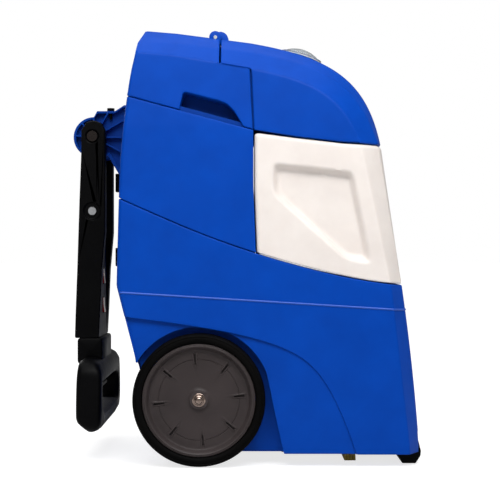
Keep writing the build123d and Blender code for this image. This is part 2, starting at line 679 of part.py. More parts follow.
def pivot_bolts():
    x, z = PIVOT
    bolt = rod(x, z, PIVOT_BOLT_R, BRACKET_Y[0], ARM_OUT_Y - 2.7)
    bolt += rod(x, z, 10.5, ARM_OUT_Y - 2.7, ARM_OUT_Y + 0.5)
    return Compound(children=pair(bolt))


def handle_bracket():
    """One hinge cheek: a ribbed D-shaped plate moulded to the casing's rear face."""
    x, z = PIVOT
    y0, y1 = BRACKET_Y
    middle = (y0 + y1) / 2
    drum = rod(x, z, BRACKET_R, y0, y1)
    drum += prism([(x, z + BRACKET_R), (-297.7, 696.7), *BRACKET_OUTLINE, (x, z - BRACKET_R)], y0, y1)
    rim_cut = rod(x, z, BRACKET_R - 5.0, y0, y1)
    rim_cut += prism([(x, z + BRACKET_R - 5.0), (-297.0, 691.7), (-262.6, 691.7), (-244.0, 703.9),
                      (-210.0, 703.9), (-210.0, 575.0), (-249.0, 575.0), (-272.0, 611.0),
                      (x, z - BRACKET_R + 5.0)], y0, y1)
    web = drum & block(-400.0, -200.0, middle - 2.0, middle + 2.0, 500.0, 750.0)
    ribs = rod(x, z, 15.0, y0, y1)
    for angle in (90.0, 60.0, 30.0, 0.0, -28.0, 130.0, 175.0, 220.0):
        rib = Pos(x, 0.0, z) * Rot(0.0, -angle, 0.0) * block(10.0, 110.0, y0, y1, -1.5, 1.5)
        ribs += rib & drum
    bracket = (drum - rim_cut) + web + ribs
    bracket -= outer
    return bracket - rod(x, z, PIVOT_BOLT_R, y0, y1)


def release_hole():
    """The bore for the lock plunger."""
    return post(*RELEASE, RELEASE_STEM_R + RUN_CLEARANCE, 670.0, 720.0)


def release_knob():
    """The sprung lock plunger on the right bracket."""
    return post(*RELEASE, RELEASE_STEM_R, 680.0, 698.5) + post(*RELEASE, 7.5, 697.0, 703.0)


def handle_loop():
    """The moulded loop that carries the hand bar, seen upside down while folded."""
    x0, x1 = LOOP_X
    loop = block(x0, x1, -LOOP_HALF, LOOP_HALF, 56.0, 198.0)
    ends = loop.edges().filter_by(Axis.X)
    loop = fillet(ends, 28.0)
    loop = chamfer(loop.edges().filter_by(Axis.Y), 9.0)
    neck = block(-334.0, -284.0, -ARM_OUT_Y, ARM_OUT_Y, 190.0, 236.0)
    loop += neck
    opening = Plane(origin=(-400.0, 0.0, 121.0), x_dir=(0, 1, 0), z_dir=(1, 0, 0))
    loop -= opening * extrude(RectangleRounded(288.0, 58.0, 22.0), amount=200.0)
    bar = block(x0 - 1, x1 + 1, -BAR_HALF, BAR_HALF, 50.0, 92.0)
    core = block(x0 + 5.0, x1 - 5.0, -BAR_HALF, BAR_HALF, 61.0, 87.0)
    loop -= bar - core
    for y in (-40.0, 40.0):
        loop -= post(-300.0, y, 3.0 + RUN_CLEARANCE, 148.0, 175.0)
    return loop


def hand_grip():
    """The soft sleeve on the hand bar."""
    x0, x1 = LOOP_X
    sleeve = block(x0, x1, -BAR_HALF, BAR_HALF, 56.0, 92.0)
    sleeve = fillet(sleeve.edges().filter_by(Axis.Y), 12.0)
    return sleeve - block(x0 + 5.0, x1 - 5.0, -BAR_HALF, BAR_HALF, 61.0, 87.0)


def spray_trigger():
    """The squeeze bar beside the hand bar, on two guide stems."""
    bar = block(-309.0, -291.0, -60.0, 60.0, 130.0, 140.0)
    bar = fillet(bar.edges().filter_by(Axis.Y), 4.0)
    for y in (-40.0, 40.0):
        bar += post(-300.0, y, 3.0, 138.0, 168.0)
    return bar


def console_body():
    x0, x1, z0, z1 = CONSOLE
    wall = CONSOLE_WALL
    tub = block(x0, x1, -ARM_IN_Y, ARM_IN_Y, z0 - 4.0, z1)
    return tub - block(x0 + wall, x1, wall - ARM_IN_Y, ARM_IN_Y - wall, z0, z1 - wall)


def console_cover():
    x1, z0, z1 = CONSOLE[1:]
    cover = block(x1, x1 + CONSOLE_WALL, -ARM_IN_Y, ARM_IN_Y, z0 - 4.0, z1)
    for z in SWITCH_Z:
        cover -= block(x1, x1 + CONSOLE_WALL, -12.0, 12.0, z - 17.0, z + 17.0)
    return cover


def rocker_switch(z):
    """A rocker that tips about a short axis across the handle."""
    x = SWITCH_X
    shape = [(x - 8.0, z - 10.0), (x + 1.0, z - 15.0), (x + 3.5, z - 15.0), (x + 1.5, z),
             (x + 1.0, z + 15.0), (x - 1.5, z + 15.0), (x - 8.0, z + 10.0)]
    return prism(shape, -11.0, 11.0)


# ---- rear fittings ------------------------------------------------------------------------
def cord_hooks():
    """Two stub hooks on the rear face for winding the power cord."""
    hooks = []
    for z in (556.0, 402.0):
        stem = block(-262.0, -225.0, -12.0, 12.0, z - 8.0, z + 8.0)
        lip = block(-265.0, -258.0, -12.0, 12.0, z - 22.0, z + 16.0)
        hooks.append((stem + lip) - outer)
    return Compound(children=hooks)


def power_inlet_panel():
    plate = Pos(-2.5, 0.0, 0.0) * outer - outer
    plate &= block(-300.0, -200.0, 80.0, 170.0, 590.0, 660.0)
    return plate - block(-300.0, -200.0, 105.0, 145.0, 612.0, 638.0)


def power_inlet():
    """The flush face of the power inlet, inside its panel."""
    return block(-233.5, -230.5, 106.0, 144.0, 613.0, 637.0) - outer


def mirrored(shape):
    return shape.mirror(Plane.XZ)


def sub_parts():
    """Every sub-part by name."""
    arm = handle_arm()
    bracket = handle_bracket()
    one_tyre, one_hub = tyre(), hub()
    bush = ring_profile([(AXLE_R + RUN_CLEARANCE, 190.0), (BUSH_R, 190.0), (BUSH_R, 214.0),
                         (AXLE_R + RUN_CLEARANCE, 214.0)])
    return {
        "base_housing": base_housing(), "rear_casing": rear_casing(),
        "top_housing": top_housing(), "hood_shell": hood_shell(),
        "window_frame": window_frame(), "window_gasket": window_gasket(),
        "window_dome": window_dome(), "hood_duct": hood_duct(),
        "hood_knuckles": knuckle_form(), "recovery_tank": recovery_tank(),
        "float_cage": float_cage(), "float_ball": float_ball(),
        "chassis_plate": chassis_plate(), "chassis_screws": chassis_screws(),
        "axle": rod(WHEEL_X, WHEEL_R, AXLE_R, -219.0, 219.0),
        "axle_brackets": axle_brackets(), "wheel_cap_nuts": Compound(children=pair(cap_nut())),
        "tyre_right": mirrored(one_tyre), "tyre_left": one_tyre,
        "hub_right": mirrored(one_hub), "hub_left": one_hub,
        "wheel_bush_right": mirrored(bush), "wheel_bush_left": bush,
        "vacuum_shoe": vacuum_shoe(), "suction_duct": suction_duct(),
        "suction_riser": suction_riser(), "brush_bar": brush_bar(),
        "brush_bristles": brush_bristles(), "brush_guides": brush_guides(),
        "brush_crank": brush_crank(), "brush_motor_bracket": brush_motor_bracket(),
        "brush_motor": brush_motor(), "motor_shelf": motor_shelf(),
        "vacuum_fan_housing": vacuum_fan_housing(), "vacuum_impeller": vacuum_impeller(),
        "vacuum_motor": vacuum_motor(), "solution_pump": solution_pump(),
        "spray_manifold": spray_manifold(), "spray_nozzles": spray_nozzles(),
        "solution_tank": solution_tank(), "fill_cap": fill_cap(),
        "handle_arm_right": mirrored(arm), "handle_arm_left": arm,
        "handle_tie_bolt": handle_tie_bolt(), "handle_pivot_bolts": pivot_bolts(),
        "handle_bracket_right": mirrored(bracket) - release_hole(), "handle_bracket_left": bracket,
        "release_knob": release_knob(), "handle_loop": handle_loop(),
        "hand_grip": hand_grip(), "spray_trigger": spray_trigger(),
        "console_body": console_body(), "console_cover": console_cover(),
        "vacuum_switch": rocker_switch(SWITCH_Z[0]), "pump_switch": rocker_switch(SWITCH_Z[1]),
        "hood_hinge_pins": Compound(children=pair(rod(*HOOD_PIN, PIN_R, 122.0, 147.5))),
        "cord_hooks": cord_hooks(), "power_inlet_panel": power_inlet_panel(),
        "power_inlet": power_inlet(),
    }


os.makedirs("parts", exist_ok=True)
for name, shape in sub_parts().items():
    shape.label = name
    export_step(shape, f"parts/{name}.step")
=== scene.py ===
import json
import math

import bmesh
import bpy
import numpy as np
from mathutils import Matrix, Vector


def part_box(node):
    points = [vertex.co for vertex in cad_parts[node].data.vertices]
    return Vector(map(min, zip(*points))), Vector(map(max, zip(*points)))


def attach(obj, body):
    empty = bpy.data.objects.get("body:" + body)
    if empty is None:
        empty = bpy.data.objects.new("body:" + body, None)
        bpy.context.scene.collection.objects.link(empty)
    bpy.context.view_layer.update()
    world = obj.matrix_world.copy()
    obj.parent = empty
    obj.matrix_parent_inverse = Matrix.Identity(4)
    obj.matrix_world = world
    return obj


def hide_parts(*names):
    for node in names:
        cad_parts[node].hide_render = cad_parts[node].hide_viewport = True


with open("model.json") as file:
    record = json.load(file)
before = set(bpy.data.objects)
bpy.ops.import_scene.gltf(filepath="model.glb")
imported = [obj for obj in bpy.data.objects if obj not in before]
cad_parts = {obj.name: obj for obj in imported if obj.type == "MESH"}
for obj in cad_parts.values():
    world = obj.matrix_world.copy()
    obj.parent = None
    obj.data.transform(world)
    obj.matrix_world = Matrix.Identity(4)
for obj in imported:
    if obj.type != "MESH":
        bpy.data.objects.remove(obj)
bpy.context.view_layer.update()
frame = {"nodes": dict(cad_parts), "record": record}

# Lengths in this script are millimetres; MM turns them into the scene's metres.
# +X is forward, +Y to the machine's left, +Z up, and the floor is z = 0.
MM = 0.001

# ---- the body's form ------------------------------------------------------------------
# The body is described in side view at four distances from the mid plane: the crease where
# the flat side ends, the outer edge of the bevel, the start of the crowned skin, and the
# middle. Each level gives the top line's corners and its hood curve.
SIDE_Y_FLOOR = 213.0
SIDE_LEAN = 10.0 / 830.0
UPPER_LEAN = 0.035
UPPER_FROM = 650.0
EDGE_Y = 177.0
CROWN_Y = 149.0
SEAM_GAP = 1.5
TANK_GAP = 2.0
WALL = 4.5
SEAM_ROLL = 2.2                 # radius of a moulded shell's edge along a parting line

LEVELS = {
    "crease": dict(top=(-206.0, 794.0), knee=(-130.0, 787.0), hood=(17.5, 760.9),
                   tip=(226.2, 618.9), start=(0.981, -0.194, 125.0), end=(0.386, -0.922, 95.0),
                   front=((282.5, 352.0), (317.7, 43.5), (319.0, 22.6)), y=None),
    "edge": dict(top=(-203.0, 816.5), knee=(-130.0, 813.5), hood=(12.3, 796.6),
                 tip=(263.0, 618.0), start=(0.985, -0.170, 150.0), end=(0.345, -0.939, 125.0),
                 front=((307.0, 352.0), (341.0, 43.5), (342.0, 22.6)), y=EDGE_Y),
    "crown": dict(top=(-190.0, 843.5), knee=(-130.0, 838.5), hood=(14.0, 819.7),
                  tip=(270.3, 618.0), start=(0.985, -0.170, 160.0), end=(0.200, -0.980, 135.0),
                  front=((309.5, 352.0), (342.5, 43.5), (343.5, 22.6)), y=CROWN_Y),
    "middle": dict(top=(-187.0, 847.5), knee=(-130.0, 843.0), hood=(15.0, 824.5),
                   tip=(274.3, 618.0), start=(0.985, -0.170, 162.0), end=(0.200, -0.980, 138.0),
                   front=((313.0, 352.0), (344.0, 43.5), (344.4, 22.6)), y=0.0),
}
REAR_LINE = ((-159.0, 22.6), (-242.0, 345.0), (-238.0, 505.0), (-235.4, 585.0),
             (-231.5, 631.0), (-224.6, 692.0), (-219.0, 732.0), (-213.8, 762.0), (-206.0, 794.0))

TOP_SEAM = ((-260.0, 718.4), (20.9, 642.9))
HOOD_FOOT = ((23.4, 643.4), (104.7, 630.5), (192.4, 620.5), (226.0, 618.6), (275.0, 618.0))
DECK_LINE = ((-260.0, 521.5), (-192.2, 491.6), (-80.1, 444.1), (23.5, 407.5),
             (148.4, 372.3), (277.7, 348.5), (360.0, 343.0))
HOOD_REAR_X = -43.6
HOOD_SEAM = ((20.9, 642.9), (14.8, 762.1))
ARCH_LINE = ((-260.0, 289.0), (-92.9, 266.7), (32.9, 240.3), (89.3, 219.5), (148.4, 171.8),
             (174.7, 129.1), (197.7, 76.7), (221.0, 10.0))
TANK_DISH = ((58.6, 578.6), (211.0, 562.1), (245.2, 388.7), (199.1, 395.2), (58.6, 521.4))


def side_y(z):
    """Half width of the body's side at a height: the upper shells lean in a little more."""
    return SIDE_Y_FLOOR - SIDE_LEAN * z - UPPER_LEAN * max(0.0, z - UPPER_FROM)


def smooth_line(points):
    """A natural cubic curve z(x) through side-view points, as a function."""
    x = np.array([p[0] for p in points], float)
    z = np.array([p[1] for p in points], float)
    n = len(x)
    h = np.diff(x)
    a = np.zeros((n, n))
    b = np.zeros(n)
    a[0, 0] = a[-1, -1] = 1.0
    for i in range(1, n - 1):
        a[i, i - 1], a[i, i], a[i, i + 1] = h[i - 1], 2 * (h[i - 1] + h[i]), h[i]
        b[i] = 6 * ((z[i + 1] - z[i]) / h[i] - (z[i] - z[i - 1]) / h[i - 1])
    m = np.linalg.solve(a, b)

    def height(at):
        i = int(np.clip(np.searchsorted(x, at) - 1, 0, n - 2))
        t0, t1 = x[i + 1] - at, at - x[i]
        return ((m[i] * t0 ** 3 + m[i + 1] * t1 ** 3) / (6 * h[i])
                + (z[i] / h[i] - m[i] * h[i] / 6) * t0
                + (z[i + 1] / h[i] - m[i + 1] * h[i] / 6) * t1)
    return height


def straight_line(points, swap=False):
    """A broken line through side-view points: z(x), or x(z) when swapped."""
    i, j = (1, 0) if swap else (0, 1)
    order = sorted(points, key=lambda p: p[i])
    xs, zs = [p[i] for p in order], [p[j] for p in order]
    return lambda at: float(np.interp(at, xs, zs))


deck_z = smooth_line(DECK_LINE)
seam_z = straight_line(TOP_SEAM)
rear_x = straight_line(REAR_LINE, swap=True)
hood_seam_x = straight_line(HOOD_SEAM, swap=True)


def level_y(level, z):
    """Distance of one level from the mid plane."""
    y = LEVELS[level]["y"]
    return side_y(z) if y is None else y


def top_point(level, x):
    """A point of a level's straight top line, behind the hood curve."""
    shape = LEVELS[level]
    line = straight_line((shape["top"], shape["knee"], shape["hood"]))
    z = line(x)
    return np.array((x, level_y(level, z), z))


def hood_point(level, t):
    """A point of a level's hood curve, t from 0 at its start to 1 at the hood's foot."""
    shape = LEVELS[level]
    p0, p3 = np.array(shape["hood"]), np.array(shape["tip"])
    sx, sz, reach = shape["start"]
    ex, ez, back = shape["end"]
    p1 = p0 + reach * np.array((sx, sz))
    p2 = p3 - back * np.array((ex, ez))
    x, z = ((1 - t) ** 3 * p0 + 3 * (1 - t) ** 2 * t * p1 + 3 * (1 - t) * t * t * p2 + t ** 3 * p3)
    return np.array((x, level_y(level, z), z))


def front_point(level, z):
    """A point of a level's front line, below the hood."""
    shape = LEVELS[level]
    tip = shape["tip"]
    deck, toe, low = shape["front"]
    bend = 0.0 if level == "crease" else 3.0
    x = straight_line((tip, deck, toe, low), swap=True)(z)
    if toe[1] < z < deck[1]:
        t = (z - toe[1]) / (deck[1] - toe[1])
        x += bend * 4 * t * (1 - t)
    return np.array((x, level_y(level, z), z))


# ---- mesh building ----------------------------------------------------------------------
def mirror(point):
    return np.array((point[0], -point[1], point[2]))


class Surface:
    """Vertices and faces gathered from grids, welded where they meet."""

    def __init__(self):
        self.points = []
        self.faces = []

    def grid(self, rows, closed=False, flip=False):
        base = len(self.points)
        wide = len(rows[0])
        for row in rows:
            assert len(row) == wide, (len(row), wide)
            self.points += [np.asarray(p, float) for p in row]
        span = wide if closed else wide - 1
        for i in range(len(rows) - 1):
            for j in range(span):
                k = (j + 1) % wide
                quad = [base + i * wide + j, base + i * wide + k,
                        base + (i + 1) * wide + k, base + (i + 1) * wide + j]
                self.faces.append(quad[::-1] if flip else quad)

    def side_grid(self, rows, sign):
        """Adds a grid made for the left side, mirrored for the right, facing outwards."""
        if sign < 0:
            rows = [[mirror(p) for p in row] for row in rows]
        self.grid(rows, flip=sign > 0)

    def welded(self, reach=0.02):
        """Merges points closer than reach and drops faces that collapse."""
        keys, merged, index = {}, [], []
        for p in self.points:
            key = tuple(np.round(p / reach).astype(int))
            if key not in keys:
                keys[key] = len(merged)
                merged.append(p)
            index.append(keys[key])
        faces = []
        for face in self.faces:
            slim = list(dict.fromkeys(index[i] for i in face))
            if len(slim) > 2:
                faces.append(slim)
        return np.array(merged), faces


def vertex_normals(points, faces):
    normals = np.zeros_like(points)
    for face in faces:
        a, b, c = points[face[0]], points[face[1]], points[face[2]]
        n = np.cross(b - a, c - a)
        if len(face) == 4:
            n = n + np.cross(c - a, points[face[3]] - a)
        for v in face:
            normals[v] += n
    length = np.linalg.norm(normals, axis=1)
    length[length == 0] = 1.0
    return normals / length[:, None]


def shell(surface, wall=WALL, roll=SEAM_ROLL, depth=None, steps=3):
    """Gives an open surface a wall. Its open edges roll inwards with a small radius, run in
    as a flange as deep as depth(point) says, and close onto the inner skin."""
    points, faces = surface.welded()
    normals = vertex_normals(points, faces)
    edges = {}
    for face in faces:
        for a, b in zip(face, face[1:] + face[:1]):
            if (b, a) in edges:
                edges[(b, a)] = 2
            else:
                edges[(a, b)] = 1
    rim = [e for e, n in edges.items() if n == 1]
    follow = {a: b for a, b in rim}
    outward = {}
    for a, b in rim:
        along = points[b] - points[a]
        along /= np.linalg.norm(along) + 1e-9
        for v in (a, b):
            side = np.cross(along, normals[v])
            outward.setdefault(v, []).append(side / (np.linalg.norm(side) + 1e-9))
    mitre = {}
    for v, sides in outward.items():
        total = sum(sides)
        share = 1.0 + float(np.dot(sides[0], sides[-1])) if len(sides) > 1 else 2.0
        mitre[v] = total / max(share, 0.45) if len(sides) > 1 else total
    count = len(points)
    outer_points = points.copy()
    for v, t in mitre.items():
        outer_points[v] = points[v] - t * roll
    inner_points = outer_points - normals * wall
    pts = list(outer_points) + list(inner_points)
    out = [list(f) for f in faces] + [[count + v for v in reversed(f)] for f in faces]
    rings = {}
    for v, t in mitre.items():
        ring = [v]
        for k in range(1, steps + 1):
            turn = math.pi / 2 * k / steps
            pts.append(outer_points[v] + t * roll * math.sin(turn)
                       - normals[v] * roll * (1 - math.cos(turn)))
            ring.append(len(pts) - 1)
        reach = wall if depth is None else depth(points[v])
        pts.append(points[v] - normals[v] * max(reach, roll + 0.3))
        ring.append(len(pts) - 1)
        if reach > wall + 0.5:
            pts.append(outer_points[v] - t * (wall - roll) - normals[v] * reach)
            ring.append(len(pts) - 1)
        ring.append(count + v)
        rings[v] = ring
    for a, b in rim:
        ra, rb = rings[a], rings[b]
        size = max(len(ra), len(rb))
        ra = ra[:-1] + [ra[-1]] * (size - len(ra) + 1)
        rb = rb[:-1] + [rb[-1]] * (size - len(rb) + 1)
        for k in range(size - 1):
            quad = list(dict.fromkeys((rb[k], ra[k], ra[k + 1], rb[k + 1])))
            if len(quad) > 2:
                out.append(quad)
    return np.array(pts), out


def placed(name, data):
    """An object at the origin, linked to the scene."""
    obj = bpy.data.objects.new(name, data)
    bpy.context.scene.collection.objects.link(obj)
    return obj


def mesh_of(name, points, faces):
    """A mesh in metres from points in millimetres."""
    mesh = bpy.data.meshes.new(name)
    mesh.from_pydata([tuple(p) for p in np.asarray(points) * MM], [], faces)
    return mesh


def make_object(name, points, faces, material, body, smooth_angle=50.0):
    """A finished mesh object riding on a body."""
    mesh = mesh_of(name, points, faces)
    mesh.validate()
    mesh.update()
    obj = placed(name, mesh)
    mesh.materials.append(material)
    for polygon in mesh.polygons:
        polygon.use_smooth = True
    mesh.set_sharp_from_angle(angle=math.radians(smooth_angle))
    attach(obj, body)
    return obj


# ---- the moulded shells as surfaces -------------------------------------------------------
def bent(points, radii, counts, steps=4):
    """A broken line with softened corners, always divided into the same number of spans."""
    cuts = []
    for i in range(1, len(points) - 1):
        a, b = points[i - 1] - points[i], points[i + 1] - points[i]
        cuts.append(min(radii[i - 1], 0.45 * np.linalg.norm(a), 0.45 * np.linalg.norm(b)))
    out = [points[0]]
    last = points[0]
    for i in range(1, len(points)):
        here = points[i]
        back = last - here
        reach = np.linalg.norm(back)
        cut = cuts[i - 1] if i < len(points) - 1 else 0.0
        start = here + (back / reach * cut if reach > 1e-6 else 0.0)
        out += [last + (start - last) * (k / counts[i - 1]) for k in range(1, counts[i - 1] + 1)]
        last = start
        if i < len(points) - 1:
            ahead = points[i + 1] - here
            far = np.linalg.norm(ahead)
            end = here + (ahead / far * cut if far > 1e-6 else 0.0)
            out += [(1 - t) ** 2 * start + 2 * t * (1 - t) * here + t * t * end
                    for t in (k / steps for k in range(1, steps + 1))]
            last = end
    return out


def both_sides(half):
    """A row from the right boundary over the middle to the left one."""
    return [mirror(p) for p in half] + half[-2::-1]


def along_path(points, share):
    """The point a share of the way along a side-view path."""
    pts = [np.array(p, float) for p in points]
    lengths = [np.linalg.norm(b - a) for a, b in zip(pts, pts[1:])]
    left = share * sum(lengths)
    for a, b, length in zip(pts, pts[1:], lengths):
        if left <= length + 1e-9:
            return a + (b - a) * (left / length if length else 0.0)
        left -= length
    return pts[-1]


def on_side(xz):
    """A side-view point placed on the leaning flat side."""
    return np.array((xz[0], side_y(xz[1]), xz[1]))


def ramp(value, stops):
    return float(np.interp(value, [s[0] for s in stops], [s[1] for s in stops]))


CREASE_BEND, EDGE_BEND, CROWN_BEND, REAR_BEND = 4.0, 5.0, 10.0, 8.0
WHEEL_X, WHEEL_Z, WELL_R = -83.5, 127.0, 139.0
PANEL_Y, BAY_Y, SHOE_HALF = 203.0, 172.0, 176.0
POCKET_Y = 162.5                # back wall of the carry-grip pockets
FOOT_Z = 22.6                   # underside of the lower shell
LEVEL_NAMES = ("crease", "edge", "crown", "middle")


def hood_surface():
    """The hood: a tongue over the top, then the bowed front with its flat cheeks."""
    rows = []
    for k in range(10):
        f = k / 10
        c, e, w, m = [top_point(n, HOOD_REAR_X + SEAM_GAP
                                + f * (LEVELS[n]["hood"][0] - HOOD_REAR_X - SEAM_GAP))
                      for n in LEVEL_NAMES]
        c = c + (e - c) / np.linalg.norm(e - c) * SEAM_GAP
        rows.append(both_sides(bent([c, c, e, w, m], (0.0, EDGE_BEND, CROWN_BEND),
                                    (10, 2, 3, 8))))
    cheek_edge = [(hood_seam_x(z) + SEAM_GAP, z) for z in (760.4, 700.0, 643.6)]
    foot_edge = cheek_edge[-1:] + list(HOOD_FOOT[1:4]) + [(226.2, 618.6)]
    steps = 48
    for k in range(steps + 1):
        t = k / steps
        c, e, w, m = [hood_point(n, t) for n in LEVEL_NAMES]
        low = (along_path(cheek_edge, t / 0.25) if t < 0.25
               else along_path(foot_edge, (t - 0.25) / 0.75))
        b = on_side(low)
        rows.append(both_sides(bent([b, c, e, w, m], (CREASE_BEND, EDGE_BEND, CROWN_BEND),
                                    (10, 2, 3, 8))))
    surface = Surface()
    surface.grid(rows, flip=True)
    return surface


def upper_rear_surface():
    """The upper rear shell, with the carry-grip notches in its lower edge."""
    seam = [(-212.0, seam_z(-212.0) + SEAM_GAP), (-121.3, seam_z(-121.3) + SEAM_GAP),
            (-119.0, 695.0), (-113.5, 717.1), (-60.0, 703.35)]
    stops = ((0.0, 0.0), (0.30, 0.24), (0.62, 0.565), (0.70, 0.72), (1.0, 1.0))
    rows = []
    steps = 44
    zc = seam_z(-221.0) + SEAM_GAP
    for k in range(steps + 1):
        u = k / steps
        if u <= 0.30:
            f = u / 0.30
            levels = []
            for n in LEVEL_NAMES:
                x1, z1 = LEVELS[n]["top"]
                z = zc + (z1 - zc) * f
                x = rear_x(min(z, 794.0)) + (x1 + 206.0) * max(0.0, (z - 794.0) / max(z1 - 794.0, 1.0))
                levels.append(np.array((x, level_y(n, z), z)))
        else:
            f = (u - 0.30) / 0.70
            levels = [top_point(n, LEVELS[n]["top"][0] + f * (HOOD_REAR_X - SEAM_GAP - LEVELS[n]["top"][0]))
                      for n in LEVEL_NAMES]
        c, e, w, m = levels
        b = on_side(along_path(seam, ramp(u, stops)))
        bend = REAR_BEND if u < 0.30 else CREASE_BEND * min(1.0, (1.0 - u) / 0.08 + 0.12)
        top = (EDGE_BEND, CROWN_BEND) if u > 0.30 else (2.0, 2.0)
        rows.append(both_sides(bent([b, c, e, w, m], (bend, *top), (12, 2, 3, 8))))
    surface = Surface()
    surface.grid(rows, flip=True)
    # The cheek behind the hood's seam: it starts at the last row's right side.
    right = rows[-1][:17]
    length = np.linalg.norm(right[-1] - right[0])
    shares = [np.linalg.norm(p - right[0]) / length for p in right]
    x_seam = hood_seam_x(645.0) - SEAM_GAP
    low = [(-60.0, 703.35), (-47.6, 700.4), (-30.0, 693.4), (-15.9, 679.0), (1.6, 650.0),
           (x_seam, 645.0)]
    high = [right[-1][[0, 2]], (hood_seam_x(761.5) - SEAM_GAP, 762.0)]
    cheek = [list(right)]
    for k in range(1, 23):
        f = k / 22
        b = on_side(along_path(low, f))
        x, z = np.array(high[0]) * (1 - f) + np.array(high[1]) * f
        t = on_side((x, z))
        cheek.append([mirror(b + (t - b) * share) for share in shares])
    surface.grid(cheek, flip=True)
    surface.grid([[mirror(p) for p in row] for row in cheek])
    return surface


NOTCH_LINE = ((-121.3, 679.0), (-113.5, 718.0), (-47.6, 701.5), (-30.0, 694.5), (-15.9, 680.0),
              (2.0, 651.0))


def notch_depth(point):
    """Flange depth of the upper shell: deep along the carry-grip notch."""
    x, y, z = point
    in_span = abs(y) > 190 and -122.5 < x < 2.5
    if in_span and seam_z(x) + SEAM_GAP + 1.0 < z < 719.0:
        if x < -112.0 or z < ramp(x, NOTCH_LINE) + 1.0:
            return side_y(z) - POCKET_Y
    return WALL


def casing_surface():
    """The middle shell: two sides and the flat rear face, open in front."""
    front = straight_line(((25.4, 407.0), (20.4, 534.6), (20.3, 643.1)), swap=True)

    def place(a, z):
        """Point a share a of the way from the front edge to the rear corner."""
        x0, x1 = front(z), rear_x(z) + REAR_BEND
        return x0 + (x1 - x0) * a
    half = []
    columns = [("side", k / 40) for k in range(41)]
    columns += [("corner", k / 6) for k in range(1, 7)] + [("rear", k / 10) for k in range(1, 11)]
    rows = 40
    for kind, f in columns:
        column = []
        for v in range(rows + 1):
            z = 560.0
            for _ in range(6):
                if kind == "side":
                    x, y = place(f, z), side_y(z)
                elif kind == "corner":
                    turn = math.pi / 2 * f
                    x = rear_x(z) + REAR_BEND * (1 - math.sin(turn))
                    y = side_y(z) - REAR_BEND * (1 - math.cos(turn))
                else:
                    x, y = rear_x(z), (side_y(z) - REAR_BEND) * (1 - f)
                low, high = deck_z(x) + SEAM_GAP, seam_z(x)
                z = low + (high - low) * v / rows
            column.append(np.array((x, y, z)))
        half.append(column)
    grid = [[mirror(p) for p in column] for column in half] + half[-2::-1]
    surface = Surface()
    surface.grid(grid)
    return surface


def seam_lip_surface(line, reach, x_front):
    """An inner lip that closes a seam from behind, round both sides and the rear."""
    x_rear = rear_x(560.0) + 16.0
    x_corner = rear_x(line(-224.0)) + 6.0
    rows = []
    for k in range(30):
        x = x_front + (x_rear - x_front) * k / 29
        rows.append([np.array((x, side_y(z) - 6.5, z)) for z in (line(x) - reach, line(x) + reach)])
    for k in range(9):
        rows.append([np.array((rear_x(z) + 7.0, (side_y(z) - 6.5) * (1 - k / 8), z))
                     for z in (line(x_corner) - reach, line(x_corner) + reach)])
    grid = [[mirror(p) for p in row] for row in rows] + rows[-2::-1]
    surface = Surface()
    surface.grid(grid)
    return surface


def hood_seam_lip_surface(sign):
    """An inner lip behind the upright seam between the hood's cheek and the rear shell."""
    rows = [[np.array((hood_seam_x(z) + dx, side_y(z) - 7.0, z)) for dx in (-9.0, 0.0, 9.0)]
            for z in np.linspace(646.0, 768.0, 10)]
    surface = Surface()
    surface.side_grid(rows, sign)
    return surface


def dish_depth(x, z, deep=16.0, width=12.0, soft=4.0):
    """How far the tank's side is pressed in at a side-view point."""
    total = 0.0
    for (x0, z0), (x1, z1) in zip(TANK_DISH, TANK_DISH[1:] + TANK_DISH[:1]):
        length = math.hypot(x1 - x0, z1 - z0)
        inside = ((z0 - z) * (x1 - x0) - (x0 - x) * (z1 - z0)) / length
        total += math.exp(min(60.0, -inside / soft))
    inside = -soft * math.log(total)
    t = min(1.0, max(0.0, (inside + 2.0) / width))
    return deep * t * t * (3 - 2 * t)


def half_ring(z, x_rear, rear_bend, inset=0.0, n_side=60):
    """Half a level outline: rear middle, rear corner, side, crease, bevel, front middle."""
    side = side_y(z) - inset
    xr = x_rear(z) + inset
    out = [np.array((xr, (side - rear_bend) * k / 6, z)) for k in range(7)]
    for k in range(1, 6):
        turn = math.pi / 2 * k / 6
        out.append(np.array((xr + rear_bend * (1 - math.cos(turn)),
                             side - rear_bend * (1 - math.sin(turn)), z)))
    c, e, w, m = [front_point(n, z) for n in LEVEL_NAMES]
    c = c + np.array((-inset * 0.4, -inset, 0.0))
    e = e + np.array((-inset, -inset * 0.5, 0.0))
    w = w + np.array((-inset, 0.0, 0.0))
    m = m + np.array((-inset, 0.0, 0.0))
    start = np.array((xr + rear_bend, side, z))
    return out + bent([start, c, e, w, m], (CREASE_BEND, EDGE_BEND, CROWN_BEND), (n_side, 2, 2, 4))


